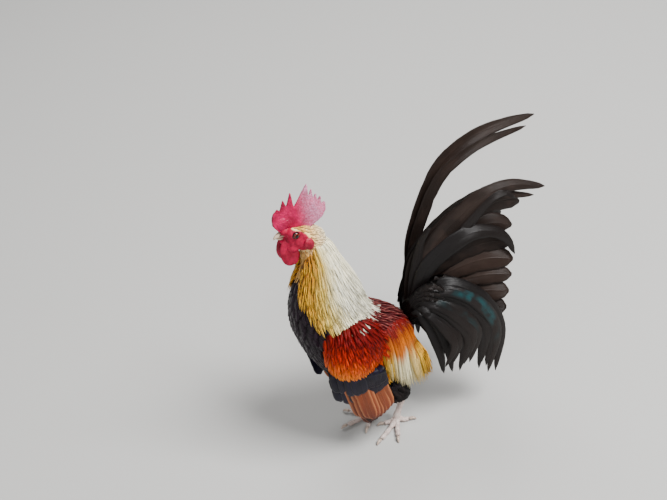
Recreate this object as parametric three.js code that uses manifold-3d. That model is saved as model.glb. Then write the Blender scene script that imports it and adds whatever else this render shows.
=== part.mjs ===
// A serama cock standing at life size, as a museum model: full breast, upright neck, drooped wings, high tail.
// Millimetres, +Z up. The bird faces -Y and its left side is +X. The floor is z = 0.
import * as THREE from "three";
import { mergeVertices } from "three/addons/utils/BufferGeometryUtils.js";
import Module from "manifold-3d";

const wasm = await Module();
wasm.setup();

// Driving sizes.
const GAP = 0.3; // between pieces that touch
const VANE_THICKNESS = 0.7;
const LOUVRE = 0.26; // slope of a feather across its width, so that it lies over the next one
const BODY_SIDES = 22;
const BODY_RINGS = 16;
const BIG = 900; // a block this large cuts as a half space

// The body from belly to neck, without its long feathers: height, front, back, half width.
const BODY = [
  [37, 5, -5, 5],
  [42, 17, -11, 16],
  [54, 28, -22, 26],
  [72, 37, -34, 33],
  [90, 47, -43, 36.5],
  [103, 53.5, -39, 38],
  [112, 56.5, -30, 37],
  [120, 58.5, -18.5, 35],
  [129, 60.5, -8.5, 32.5],
  [142, 60.5, -3.5, 28.5],
  [155, 58, 0.5, 24],
  [168, 53, 5, 19],
  [180, 46.5, 9.5, 15.5],
  [192, 43, 13.5, 12.5],
  [204, 43, 17, 11],
  [212, 43, 20, 9],
];
const WIDEST = 0.46; // share of the way from back to front where a level is widest
const FULLNESS = { front: 2.25, back: 1.8 }; // exponents of the level's rounded outline

const NECK_PLANE = { forward: 26, height: 148, lean: 4 }; // parts the neck from the torso, degrees from level
const HEAD_PLANE = { forward: 33, height: 203, lean: -17 };

const EYE = { side: 9.4, forward: 45.6, height: 220.8, radius: 3.3 };
const COMB_THICKNESS = 4.2; // at the crown
const COMB_EDGE = 1.5; // at the points
const TAIL_ROOT = { forward: -44, height: 107 };
// Each foot's place, its toes' headings and lengths (inner, middle, outer, without claws) and its hock's place.
const FEET = {
  left: { side: 10, forward: -14, toes: [-14, 32, 66], lengths: [12, 27, 21], hock: -23 },
  right: { side: -10, forward: 1, toes: [52, 4, -42], lengths: [18, 25, 21], hock: -9 },
};

// Repeatable small variations: a value from -1 to 1 for each whole number.
function vary(n) {
  const s = Math.sin(n * 127.1 + 11.7) * 43758.5453;
  return 2 * (s - Math.floor(s)) - 1;
}

const mix = THREE.MathUtils.lerp;
const radians = THREE.MathUtils.degToRad;

function at(side, forward, height) {
  return new THREE.Vector3(side, -forward, height);
}

// One column of a table of levels, smoothly between its rows.
function level(table, height, column) {
  const last = table.length - 1;
  let i = table.findIndex((row) => row[0] > height) - 1;
  if (height >= table[last][0]) i = last - 1;
  i = Math.max(0, i);
  const [h0, h1] = [table[i][0], table[i + 1][0]];
  const slope = (k) => {
    const a = Math.max(0, k - 1);
    const b = Math.min(last, k + 1);
    return (table[b][column] - table[a][column]) / (table[b][0] - table[a][0]);
  };
  const t = THREE.MathUtils.clamp((height - h0) / (h1 - h0), 0, 1);
  const [t2, t3, span] = [t * t, t * t * t, h1 - h0];
  return (
    (2 * t3 - 3 * t2 + 1) * table[i][column] +
    (t3 - 2 * t2 + t) * span * slope(i) +
    (-2 * t3 + 3 * t2) * table[i + 1][column] +
    (t3 - t2) * span * slope(i + 1)
  );
}

// Solids.

function toSolid(geometry) {
  const bare = new THREE.BufferGeometry().setAttribute("position", geometry.getAttribute("position"));
  if (geometry.index) bare.setIndex(geometry.index);
  const merged = mergeVertices(bare, 1e-3);
  const triVerts = new Uint32Array(merged.index.array);
  const vertProperties = merged.attributes.position.array;
  const make = () => new wasm.Manifold(new wasm.Mesh({ numProp: 3, vertProperties, triVerts }));
  const made = make();
  if (made.volume() > 0) return made;
  for (let i = 0; i < triVerts.length; i += 3) {
    [triVerts[i + 1], triVerts[i + 2]] = [triVerts[i + 2], triVerts[i + 1]];
  }
  return make();
}

function largest(solid) {
  return solid.decompose().reduce((a, b) => (b.volume() > a.volume() ? b : a));
}

function join(solids) {
  return solids.reduce((a, b) => a.add(b));
}

function geometryOf(solid) {
  const mesh = solid.getMesh();
  const flat = new Float32Array(mesh.numVert * 3);
  for (let i = 0; i < mesh.numVert; i++) {
    flat.set(mesh.vertProperties.subarray(i * mesh.numProp, i * mesh.numProp + 3), i * 3);
  }
  const geometry = new THREE.BufferGeometry();
  geometry.setAttribute("position", new THREE.BufferAttribute(flat, 3));
  geometry.setIndex(new THREE.BufferAttribute(mesh.triVerts, 1));
  geometry.computeVertexNormals();
  return geometry;
}

function mirrored(solid) {
  const geometry = geometryOf(solid);
  geometry.scale(-1, 1, 1);
  return toSolid(geometry);
}

// A skin over rings of points, closed at both ends. A thin form's two faces get the same diagonals.
function loft(rings) {
  const sides = rings[0].length;
  const positions = rings.flat().flatMap((p) => [p.x, p.y, p.z]);
  const index = [];
  for (let i = 0; i + 1 < rings.length; i++) {
    for (let j = 0; j < sides; j++) {
      const k = (j + 1) % sides;
      const [a, b, c, d] = [i * sides + j, i * sides + k, (i + 1) * sides + k, (i + 1) * sides + j];
      if (j < sides / 2) index.push(a, b, c, a, c, d);
      else index.push(a, b, d, b, c, d);
    }
  }
  const end = (rings.length - 1) * sides;
  for (let j = 1; j + 1 < sides; j++) {
    index.push(0, j + 1, j);
    index.push(end, end + j, end + j + 1);
  }
  const geometry = new THREE.BufferGeometry();
  geometry.setAttribute("position", new THREE.Float32BufferAttribute(positions, 3));
  geometry.setIndex(index);
  return toSolid(geometry);
}

// A half space: everything on the side of the point that the normal shows.
function halfSpace(point, normal) {
  const block = new THREE.BoxGeometry(BIG, BIG, BIG);
  block.translate(0, 0, BIG / 2);
  const turn = new THREE.Quaternion().setFromUnitVectors(new THREE.Vector3(0, 0, 1), normal.clone().normalize());
  block.applyQuaternion(turn);
  block.translate(point.x, point.y, point.z);
  return toSolid(block);
}

// A plane across the bird, leaning forward by its lean, as the solid above it and the solid below it.
function parting(plane) {
  const lean = radians(plane.lean);
  const up = at(0, -Math.sin(lean), Math.cos(lean));
  const point = at(0, plane.forward, plane.height);
  const lift = up.clone().multiplyScalar(GAP / 2);
  return {
    above: halfSpace(point.clone().add(lift), up),
    below: halfSpace(point.clone().sub(lift), up.clone().negate()),
  };
}

// A round limb along a path, its radius given at equal steps, flattened by `flat` in height.
function limb(path, radii, { sides = 8, steps = 10, grow = 0, flat = 1 } = {}) {
  const curve = new THREE.CatmullRomCurve3(path, false, "centripetal");
  const table = radii.map((r, i) => [i, r]);
  const rings = [];
  for (let i = 0; i <= steps; i++) {
    const t = i / steps;
    const tangent = curve.getTangent(t);
    const across = new THREE.Vector3(tangent.y, -tangent.x, 0);
    if (across.length() < 0.05) across.set(1, 0, 0);
    across.normalize();
    const over = across.clone().cross(tangent).normalize();
    const radius = level(table, t * (radii.length - 1), 1) + grow;
    const centre = curve.getPoint(t);
    const ring = [];
    for (let j = 0; j < sides; j++) {
      const a = (2 * Math.PI * j) / sides;
      const p = centre.clone().addScaledVector(across, radius * Math.cos(a));
      ring.push(p.addScaledVector(over, radius * flat * Math.sin(a)));
    }
    rings.push(ring);
  }
  return loft(rings);
}

// An ellipsoid with its half sizes across, along and up, tilted nose up by `tilt` degrees.
function egg(centre, half, { tilt = 0, around = 14, rows = 9, grow = 0 } = {}) {
  const ball = new THREE.SphereGeometry(1, around, rows);
  ball.scale(half[0] + grow, half[1] + grow, half[2] + grow);
  ball.rotateX(-radians(tilt));
  ball.translate(centre.x, centre.y, centre.z);
  return toSolid(ball);
}

// A feather: a thin vane along a path. `face` gives the way its outer face looks, `width` its width at t.
function vane(path, face, width, { steps = 6, cup = 0, grow = 0, thickness = VANE_THICKNESS } = {}) {
  const curve = new THREE.CatmullRomCurve3(path, false, "centripetal");
  const rings = [];
  for (let i = 0; i <= steps; i++) {
    const t = i / steps;
    const tangent = curve.getTangent(t);
    const out = face(t, curve.getPoint(t));
    out.addScaledVector(tangent, -out.dot(tangent)).normalize();
    const across = tangent.clone().cross(out);
    const half = width(t) / 2 + grow;
    const rise = thickness / 2 + grow;
    const centre = curve.getPoint(t).addScaledVector(tangent, t === 0 ? -grow : t === 1 ? grow : 0);
    const stations = cup ? [-1, 0, 1] : [-1, 1];
    const row = (r) => stations.map((s) => {
      const p = centre.clone().addScaledVector(across, s * half);
      return p.addScaledVector(out, r - cup * half * Math.abs(s));
    });
    rings.push([...row(rise), ...row(-rise).reverse()]);
  }
  return loft(rings);
}

// Widths along a feather: narrow and pointed like a hackle, sword-shaped like a sickle, or round-ended.
const pointed = (w) => (t) => w * Math.max(0.12, Math.min(0.55 + 1.5 * t, 1, 1.9 * (1 - t)));
const sword = (w) => (t) => w * Math.max(0.06, Math.min(0.5 + 2 * t, 1, Math.sqrt(2.4 * (1 - t))));
const rounded = (w) => (t) => w * Math.max(0.3, Math.min(0.35 + 1.1 * t, 1, Math.sqrt(6 * (1.01 - t))));

// The body's own surface.

function bodyLevel(height) {
  const [front, back, half] = [1, 2, 3].map((column) => level(BODY, height, column));
  return { front, back, half, middle: mix(back, front, WIDEST) };
}

function bodySolid(grow = 0) {
  const [low, high] = [BODY[0][0], BODY[BODY.length - 1][0]];
  const rings = [];
  for (let i = 0; i <= BODY_RINGS; i++) {
    const height = mix(low, high, i / BODY_RINGS);
    const { front, back, half, middle } = bodyLevel(height);
    const raised = height + (i === 0 ? -grow : i === BODY_RINGS ? grow : 0);
    const ring = [];
    for (let j = 0; j < BODY_SIDES; j++) {
      const a = (2 * Math.PI * j) / BODY_SIDES;
      const [c, s] = [Math.cos(a), Math.sin(a)];
      const fullness = c > 0 ? FULLNESS.front : FULLNESS.back;
      const round = (v) => Math.sign(v) * Math.abs(v) ** (2 / fullness);
      const reach = (c > 0 ? front - middle : middle - back) + grow;
      ring.push(at((half + grow) * round(s), middle + reach * round(c), raised));
    }
    rings.push(ring);
  }
  return loft(rings);
}

// How far the body's side stands out at a place along and up.
function sideOf(forward, height) {
  const { front, back, half, middle } = bodyLevel(height);
  const reach = forward > middle ? front - middle : middle - back;
  const fullness = forward > middle ? FULLNESS.front : FULLNESS.back;
  const u = Math.min(0.98, Math.abs(forward - middle) / reach);
  return half * (1 - u ** fullness) ** (1 / fullness);
}

// Draping: the outermost point of some solids along a ray from inside the body.
function draper(solids) {
  const surface = new THREE.MeshBasicMaterial({ side: THREE.DoubleSide });
  const meshes = solids.map((s) => new THREE.Mesh(geometryOf(s), surface));
  const caster = new THREE.Raycaster();
  return (origin, direction, offset) => {
    const way = direction.clone().normalize();
    caster.set(origin, way);
    const hits = caster.intersectObjects(meshes, false);
    const reach = hits.length ? hits[hits.length - 1].distance : 0;
    return origin.clone().addScaledVector(way, reach + offset);
  };
}

// Wings: folded, held nearly upright on the sides, tips just off the floor.

const WING = {
  top: 137, // height of the shoulder
  foot: 86, // height where the arm's flesh ends
  front: [44, 38], // front edge at the top and at the foot
  back: [-1, 4],
  depth: 3.5,
  inside: 6, // how far the arm reaches into the body
};
const WING_TIERS = [
  // Underneath to outermost: count, root and tip places front to back, stand-off at the tips, width.
  { name: "primaries", count: 4, root: [34, 20, 92, 90], tip: [19, 8, 30.5, 35], off: 2.2, width: 9, bulge: 0 },
  { name: "secondaries", count: 6, root: [36, 9, 94, 92], tip: [25, 0, 42, 43], off: 4.8, width: 9, bulge: -6 },
  { name: "greater_coverts", count: 5, root: [42, 9, 108, 102], tip: [38, 6, 64, 76], off: 7.3, width: 10, bulge: -3 },
  { name: "median_coverts", count: 5, root: [42, 7, 126, 116], tip: [39, 6, 99, 83], off: 9.8, width: 10, bulge: -2 },
];
const WING_DRAW = 1.4; // how far a feather draws in towards its tip

function wingArm(grow) {
  const rings = [];
  const levels = 7;
  const points = 5;
  for (let i = 0; i <= levels; i++) {
    const t = i / levels;
    const height = mix(WING.top, WING.foot, t);
    const taper = Math.sin(Math.PI * Math.min(0.94, Math.max(0.06, 0.05 + 0.75 * t))) ** 0.5;
    const middle = mix(mix(WING.front[0], WING.front[1], t), mix(WING.back[0], WING.back[1], t), 0.5);
    const half = (mix(WING.front[0], WING.front[1], t) - middle) * taper + grow;
    const outer = [];
    const inner = [];
    for (let j = 0; j < points; j++) {
      const u = mix(1, -1, j / (points - 1));
      const forward = middle + half * u;
      const swell = 0.7 + WING.depth * taper * (1 - u * u) ** 0.5 + grow;
      const side = sideOf(forward, height);
      outer.push(at(side + swell, forward, height));
      inner.unshift(at(side - WING.inside, forward, height));
    }
    rings.push([...outer, ...inner]);
  }
  return loft(rings);
}

// A wing feather hangs down the side: it follows the body's widest stretch and then drops straight.
function wingFeather(tier, k, grow) {
  const s = tier.count > 1 ? k / (tier.count - 1) : 0;
  const rootForward = mix(tier.root[0], tier.root[1], s);
  const rootHeight = mix(tier.root[2], tier.root[3], s);
  const tipForward = mix(tier.tip[0], tier.tip[1], s);
  const bow = tier.bulge * Math.sin(Math.PI * s);
  const tipHeight = mix(tier.tip[2], tier.tip[3], s) + bow + vary(k + tier.count * 7);
  const path = [];
  const stops = 4;
  let reach = 0;
  for (let i = 0; i < stops; i++) {
    const t = i / (stops - 1);
    const forward = mix(rootForward, tipForward, t);
    const height = mix(rootHeight, tipHeight, t);
    const stand = t === 0 ? 1.2 : tier.off;
    reach = Math.max(reach - WING_DRAW * t, sideOf(forward, height) + stand);
    path.push(at(reach, forward, height));
  }
  const face = () => at(1, LOUVRE, 0.05);
  return vane(path, face, rounded(tier.width), { steps: 3, grow });
}

function wingSolid(grow = 0) {
  const pieces = [wingArm(grow)];
  for (const tier of WING_TIERS) {
    for (let k = 0; k < tier.count; k++) pieces.push(wingFeather(tier, k, grow));
  }
  return join(pieces);
}

const body = bodySolid();
const bodyCutter = bodySolid(GAP);
const wingLeft = largest(wingSolid().subtract(bodyCutter));
const wingRight = mirrored(wingLeft);
const wingCutterLeft = wingSolid(GAP).subtract(bodySolid(GAP / 2));
const wingCutters = wingCutterLeft.add(mirrored(wingCutterLeft));

// The torso with its saddle feathers, which grow from the back and hang over the flanks.

const SADDLE_ROWS = [
  // Root places along the back, the angle of the root from upright (front, back), how much longer the feathers are.
  { count: 6, from: 0, to: -39, lean: [66, 30], longer: -4, width: 8.8, off: 2 },
  { count: 6, from: -4, to: -37, lean: [52, 12], longer: 4, width: 8.4, off: 3.9 },
];
const SADDLE_TIPS = [[0, 69], [0.35, 58], [0.75, 57], [1, 67]]; // height of the tips from front to back
const SADDLE_SPREAD = [1, -12]; // how far the tips lie in front of the roots, from front to back
const SADDLE_AXIS = 84; // height of the line that the feathers fan round
const SADDLE_WIDTH = 27; // the feathers hang at least this far out

function saddleFeather(row, k, drape, grow) {
  const s = k / (row.count - 1);
  const root = mix(row.from, row.to, s);
  const spread = mix(...SADDLE_SPREAD, s);
  const path = [];
  const stops = 7;
  let reach = 0;
  const startAngle = mix(row.lean[0], row.lean[1], s);
  const tip = level(SADDLE_TIPS, s, 1) - row.longer + 3 * vary(3 * k + row.longer);
  for (let i = 0; i < stops; i++) {
    const t = i / (stops - 1);
    const forward = root + spread * t;
    const turn = Math.min(1, t / 0.55);
    const angle = radians(mix(startAngle, 88, turn));
    const sink = t === 0 ? -4 : row.off;
    if (t < 0.55) {
      const p = drape(at(0, forward, SADDLE_AXIS), at(Math.sin(angle), 0, Math.cos(angle)), sink);
      reach = Math.max(reach, p.x);
      path.push(p);
      continue;
    }
    const drop = mix(SADDLE_AXIS + 2, tip, (t - 0.5) / 0.5);
    const side = drape(at(0, forward, drop), at(1, 0, 0), sink);
    reach = Math.max(reach - 0.8, side.x, SADDLE_WIDTH + row.off);
    path.push(at(reach, forward, drop));
  }
  const face = (t, p) => at(p.x, 0, t > 0.5 ? 0 : p.z - SADDLE_AXIS);
  return vane(path, face, pointed(row.width), { steps: 5, grow });
}

const neckCut = parting(NECK_PLANE);
const headCut = parting(HEAD_PLANE);
const torsoCore = body.intersect(neckCut.below);
const drapeOnBody = draper([body]);

function saddleSolids(grow) {
  const feathers = [];
  for (const row of SADDLE_ROWS) {
    for (let k = 0; k < row.count; k++) feathers.push(saddleFeather(row, k, drapeOnBody, grow));
  }
  return feathers;
}

const saddleLeft = join(saddleSolids(0));
const saddle = join([saddleLeft, mirrored(saddleLeft)]).subtract(wingCutters);
const torso = largest(torsoCore.add(saddle).subtract(neckCut.above));
const saddleCutterLeft = join(saddleSolids(GAP));
const torsoCutter = bodySolid(GAP).intersect(neckCut.below).add(saddleCutterLeft).add(mirrored(saddleCutterLeft));

// The neck with its hackle feathers, which fall as a cape over the shoulders and the back.

const HACKLE_ROWS = [
  // Height of the roots, heights of the tips in front, at the side and behind, degrees from the front to the first.
  { count: 12, root: 154, tip: [148, 125, 120], off: 1.8, width: 13, from: 40 },
  { count: 11, root: 167, tip: [158, 139, 134], off: 3.5, width: 11.4, from: 28 },
  { count: 11, root: 180, tip: [168, 154, 149], off: 5.1, width: 10.6, from: 24 },
  { count: 8, root: 192, tip: [181, 168, 163], off: 6.4, width: 10, from: 24 },
];
const HACKLE_SWEEP = 2; // degrees that a feather turns backwards

function hackleFeather(row, k, drape, grow) {
  const s = k / (row.count - 1);
  const round = mix(row.from, 360 - row.from, s);
  const away = Math.min(round, 360 - round) / 180;
  const tips = [[0.05, row.tip[0]], [0.55, row.tip[1]], [1, row.tip[2]]];
  const tip = level(tips, away, 1) + 2.2 * vary(k + row.root);
  const side = round > 180 ? -1 : 1;
  const path = [];
  const stops = 4;
  for (let i = 0; i < stops; i++) {
    const t = i / (stops - 1);
    const height = mix(row.root, tip, t);
    const { middle } = bodyLevel(height);
    const turn = radians(round + side * HACKLE_SWEEP * t);
    const sink = t === 0 ? -3.5 : row.off;
    path.push(drape(at(0, middle, height), at(Math.sin(turn), Math.cos(turn), 0), sink));
  }
  const face = (t, p) => {
    const { middle } = bodyLevel(p.z);
    return at(p.x, -p.y - middle, 12);
  };
  return vane(path, face, pointed(row.width), { steps: 3, grow });
}

const armLeft = wingArm(0);
const drapeOnShoulders = draper([body, armLeft, mirrored(armLeft)]);
const neckCore = body.intersect(neckCut.above).intersect(headCut.below);

function hackleRow(row, grow) {
  return join(Array.from({ length: row.count }, (_, k) => hackleFeather(row, k, drapeOnShoulders, grow)));
}

const hackleCutter = hackleRow(HACKLE_ROWS[HACKLE_ROWS.length - 1], GAP);
const hackle = join(HACKLE_ROWS.map((row) => hackleRow(row, 0)));
const cape = hackle.subtract(torsoCutter).subtract(wingCutters);
const neck = largest(neckCore.add(cape).subtract(headCut.above));

// Head.

const HEAD = [
  // Share of the way to the beak: half height, half width, rise of the centre line.
  [0, 5, 5, -1],
  [0.12, 9.5, 8.5, -0.6],
  [0.3, 12, 10.6, 0],
  [0.55, 11.2, 10.2, 0],
  [0.74, 9.6, 8.6, 0.3],
  [0.9, 7.4, 6.6, 0.6],
  [1, 5.8, 5, 0.6],
];
const HEAD_BACK = at(0, 20, 204);
const HEAD_FRONT = at(0, 55, 219);

function headSolid(grow = 0) {
  const axis = HEAD_FRONT.clone().sub(HEAD_BACK);
  const along = axis.clone().normalize();
  const across = new THREE.Vector3(1, 0, 0);
  const over = across.clone().cross(along).negate();
  if (over.z < 0) over.negate();
  const rings = [];
  const steps = 9;
  const sides = 14;
  for (let i = 0; i <= steps; i++) {
    const t = i / steps;
    const [high, wide, lift] = [1, 2, 3].map((column) => level(HEAD, t, column));
    const centre = HEAD_BACK.clone().addScaledVector(axis, t).addScaledVector(over, lift);
    centre.addScaledVector(along, i === 0 ? -grow : i === steps ? grow : 0);
    const ring = [];
    for (let j = 0; j < sides; j++) {
      const a = (2 * Math.PI * j) / sides;
      const p = centre.clone().addScaledVector(across, (wide + grow) * Math.sin(a));
      ring.push(p.addScaledVector(over, (high + grow) * Math.cos(a)));
    }
    rings.push(ring);
  }
  return loft(rings);
}

function eyeCentre(sign) {
  return at(sign * (EYE.side - 1.2), EYE.forward, EYE.height);
}

function eyeBall(sign, grow = 0) {
  return egg(eyeCentre(sign), [EYE.radius, EYE.radius, EYE.radius], { around: 10, rows: 7, grow });
}

// Upper and lower lids: a ring round the eye.
function lids(sign) {
  const ring = new THREE.TorusGeometry(EYE.radius + 0.1, 0.95, 5, 10);
  ring.rotateY(Math.PI / 2);
  ring.scale(1, 1.15, 1);
  const c = at(sign * (EYE.side - 0.3), EYE.forward, EYE.height);
  ring.translate(c.x, c.y, c.z);
  return toSolid(ring);
}

// Each half of the beak: the places along it, its radii and its height as a share of its width.
const MOUTH = 218.6;
const BEAK = {
  upper: { path: [at(0, 49, 219.8), at(0, 56.5, 220.8), at(0, 61.7, 218)], radii: [4.6, 4.2, 3, 0.5], flat: 1.05 },
  lower: { path: [at(0, 49, 217.4), at(0, 55.5, 217.2), at(0, 59.4, 217.4)], radii: [3.4, 2.8, 1.9, 0.4], flat: 0.8 },
};

function beakSolid(half, grow = 0) {
  const { path, radii, flat } = BEAK[half];
  const lift = half === "upper" ? 1 : -1;
  const mouth = at(0, 55, MOUTH + (lift * GAP) / 2);
  return limb(path, radii, { sides: 10, steps: 7, flat, grow }).intersect(halfSpace(mouth, at(0, 0, lift)));
}

// The comb stands on the crown as one blade with points, the front ones broad and the back ones fine.
const COMB_POINTS = [
  // The dip in front of each point and the point itself: forward, height, forward, height.
  [58, 239.2, 54.2, 242.6],
  [52.3, 240.6, 48.6, 248.8],
  [46.8, 242.2, 41.9, 253],
  [40.9, 239.4, 27.4, 255.2],
  [27.6, 243.2, 24.6, 249.6],
  [24.1, 240.8, 21.6, 244.8],
  [21.5, 237.8, 18.6, 241.4],
  [18.9, 234.6, 15.8, 235.4],
];
const COMB_FRONT = [[50, 221], [56.5, 224.6], [59.6, 229], [59.5, 234.5]]; // from the beak up
const COMB_REAR = [[16.2, 230], [19, 225.4], [24, 222.4], [34, 219]]; // from the last point down to the crown
const COMB_TIP = 0.45; // half width of a point's end

function combSolid() {
  const outline = new THREE.Shape();
  outline.moveTo(...COMB_FRONT[0]);
  COMB_FRONT.slice(1).forEach((place) => outline.lineTo(...place));
  for (const [dipForward, dipHeight, tipForward, tipHeight] of COMB_POINTS) {
    outline.lineTo(dipForward, dipHeight);
    outline.lineTo(tipForward + COMB_TIP, tipHeight - COMB_TIP);
    outline.lineTo(tipForward - COMB_TIP, tipHeight);
  }
  COMB_REAR.forEach((place) => outline.lineTo(...place));
  outline.closePath();
  const blade = new THREE.ExtrudeGeometry(outline, { depth: 1, bevelEnabled: false });
  const position = blade.getAttribute("position");
  const [crown, edge] = [226, 250];
  for (let i = 0; i < position.count; i++) {
    const [forward, height, side] = [position.getX(i), position.getY(i), position.getZ(i) - 0.5];
    const rise = THREE.MathUtils.clamp((height - crown) / (edge - crown), 0, 1);
    position.setXYZ(i, side * mix(COMB_THICKNESS, COMB_EDGE, rise), -forward, height);
  }
  return toSolid(blade);
}

const WATTLE = { side: 4.6, forward: 51.8, top: 217, bottom: 193.4, half: 8.1, depth: 2.1 };

// A lobe that leans outwards below, with one soft fold.
function wattleSolid() {
  const middle = (WATTLE.top + WATTLE.bottom) / 2;
  const long = (WATTLE.top - WATTLE.bottom) / 2;
  const lobe = new THREE.SphereGeometry(1, 12, 8);
  const position = lobe.getAttribute("position");
  for (let i = 0; i < position.count; i++) {
    const [x, y, z] = [position.getX(i), position.getY(i), position.getZ(i)];
    const hang = 0.94 - 0.08 * z;
    const fold = 0.35 * Math.sin(3.2 * y + 1.2 * z);
    position.setXYZ(i, x * WATTLE.depth + fold - 1.2 * z, y * WATTLE.half * hang, z * long);
  }
  lobe.translate(WATTLE.side, -WATTLE.forward, middle);
  return toSolid(lobe);
}

function earlobeSolid() {
  return egg(at(9.6, 36.6, 209.6), [2.2, 4.2, 5.4], { tilt: -12, around: 10, rows: 7 });
}

const headCore = headSolid();
const eyes = { left: eyeBall(1), right: eyeBall(-1) };
const eyeSockets = eyeBall(1, GAP).add(eyeBall(-1, GAP));
const head = largest(
  join([headCore, lids(1), lids(-1)]).intersect(headCut.above).subtract(eyeSockets),
);
const headCutter = headSolid(GAP);
const nostril = (sign) => egg(at(sign * 3.5, 56.6, 221.4), [1.1, 1.3, 0.6], { tilt: -15, around: 6, rows: 5 });
const beakUpper = largest(beakSolid("upper").subtract(headCutter).subtract(nostril(1)).subtract(nostril(-1)));
const beakLower = largest(beakSolid("lower").subtract(headCutter));
const beakCutter = beakSolid("upper", GAP).add(beakSolid("lower", GAP));
const comb = largest(combSolid().subtract(headCutter).subtract(beakCutter));
const wattleLeft = largest(wattleSolid().subtract(headCutter).subtract(beakCutter).subtract(bodyCutter));
const earlobeLeft = largest(
  earlobeSolid().subtract(headCutter).subtract(bodyCutter).subtract(hackleCutter),
);

// Tail: two fans of broad feathers, with sickles and hangers outside them.

const FAN = {
  count: 6,
  width: 23,
  base: { side: 2.6, forward: -39, low: 101, high: 113 },
};
const FAN_TIPS = [
  // Side, forward and height of each tip from the lowest to the highest.
  [29, -112, 80],
  [26, -124, 97],
  [22, -130, 115],
  [17, -134, 133],
  [12, -139, 152],
  [7, -148, 175],
];
const SICKLE_PATHS = {
  left: [[-50, 128], [-58, 150], [-71, 168], [-93, 184], [-115, 195], [-141, 196], [-172, 184]],
  right: [[-51, 141], [-58, 170], [-70, 197], [-88, 224], [-114, 238], [-142, 242], [-178, 240]],
};
const SICKLE_TWIST = { left: 0.35, right: -0.25 };
const HANGERS = 5;

function tailStub(inner, outer, grow) {
  const whole = egg(at(0, TAIL_ROOT.forward, TAIL_ROOT.height), [12, 9, 13], { around: 12, rows: 7, grow });
  return whole
    .intersect(halfSpace(at(inner - grow, 0, 0), new THREE.Vector3(1, 0, 0)))
    .intersect(halfSpace(at(outer + grow, 0, 0), new THREE.Vector3(-1, 0, 0)));
}

const STUB_SPLIT = 6; // where the fan's flesh ends and the sickles' begins

function fanFeather(k, grow) {
  const s = k / (FAN.count - 1);
  const [side, forward, height] = FAN_TIPS[k];
  const { base } = FAN;
  const rootHeight = mix(base.low, base.high, s);
  const rise = mix(2, 34, s ** 1.2);
  const path = [
    at(base.side + 0.4 * (FAN.count - 1 - k), base.forward - 1, rootHeight),
    at(mix(6, 3.6, s), mix(-62, -53, s), mix(rootHeight, height, 0.3) + 0.55 * rise),
    at(mix(14, 5, s), mix(-84, -84, s), mix(rootHeight, height, 0.62) + 0.72 * rise),
    at(mix(23, 6.5, s), mix(-100, -121, s), mix(rootHeight, height, 0.88) + 0.5 * rise),
    at(side, forward, height),
  ];
  const face = () => at(1, 0, mix(0.55, 0.12, s));
  return vane(path, face, rounded(FAN.width), { steps: 5, grow });
}

function fanSolid(grow = 0) {
  const pieces = [tailStub(GAP / 2, STUB_SPLIT, grow)];
  for (let k = 0; k < FAN.count; k++) pieces.push(fanFeather(k, grow));
  return join(pieces).intersect(halfSpace(at(GAP / 2 - grow, 0, 0), new THREE.Vector3(1, 0, 0)));
}

function mainSickle(side, grow) {
  const path = [at(8.5, -40, 112)];
  SICKLE_PATHS[side].forEach(([forward, height], i) => path.push(at(8.2 + 0.4 * i, forward, height)));
  const face = (t) => at(1, 0.15, SICKLE_TWIST[side] * t);
  return vane(path, face, sword(16), { steps: 10, cup: 0.16, grow });
}

function hanger(k, grow) {
  const u = k / (HANGERS - 1);
  const wave = vary(k + 40);
  const path = [
    at(9, -40, mix(113, 104, u)),
    at(mix(14, 17, u), mix(-53, -48, u), mix(127, 112, u)),
    at(mix(22, 25, u), mix(-74, -55, u), mix(131, 106, u)),
    at(mix(29, 32, u), mix(-97, -62, u), mix(111, 91, u)),
    at(mix(33, 36, u), mix(-110, -64, u), mix(77, 74, u)),
    at(mix(34, 37, u), mix(-105, -60, u) + wave, mix(38, 57, u) + 2 * wave),
  ];
  const face = (t) => at(1, 0.1, mix(0.9, 0.1, t));
  return vane(path, face, sword(mix(16, 11, u)), { steps: 6, grow });
}

function sickleSolid(side, grow = 0) {
  const pieces = [tailStub(STUB_SPLIT + GAP, 14, grow), mainSickle(side, grow)];
  for (let k = 0; k < HANGERS; k++) pieces.push(hanger(k, grow));
  return join(pieces);
}

const fanLeft = largest(fanSolid().subtract(torsoCutter));
const fanCutterLeft = fanSolid(GAP);
const sicklesLeft = largest(sickleSolid("left").subtract(torsoCutter).subtract(fanCutterLeft));
const sicklesRight = mirrored(largest(sickleSolid("right").subtract(torsoCutter).subtract(fanCutterLeft)));

// Legs and feet.

const HOCK_HEIGHT = 31;
const SHANK_FOOT = 6.5;
const CLAW_LENGTH = 6.5;
const HIND_TOE = { length: 11, turn: 22 };
const FLOOR = halfSpace(at(0, 0, 0), new THREE.Vector3(0, 0, 1));

function legPoints(foot) {
  const sign = Math.sign(foot.side);
  return {
    hip: at(sign * 19, foot.hock + 22, 66),
    knee: at(sign * 19, foot.hock + 12.5, 50),
    hock: at(foot.side + sign * 2, foot.hock, HOCK_HEIGHT),
    ankle: at(foot.side, foot.forward, SHANK_FOOT),
  };
}

function thighSolid(foot) {
  const { hip, knee, hock } = legPoints(foot);
  return limb([hip, knee, hock], [11, 14.5, 13, 8.8, 4.6], { sides: 12, steps: 7 });
}

function shankSolid(foot) {
  const { hock, ankle } = legPoints(foot);
  const away = ankle.clone().sub(hock).normalize();
  const top = hock.clone().addScaledVector(away, -1.5);
  const bottom = ankle.clone().addScaledVector(away, -1);
  return limb([top, bottom], [2.4, 4, 3.1, 2.6, 2.7, 3.2], { sides: 10, steps: 8 });
}

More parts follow.
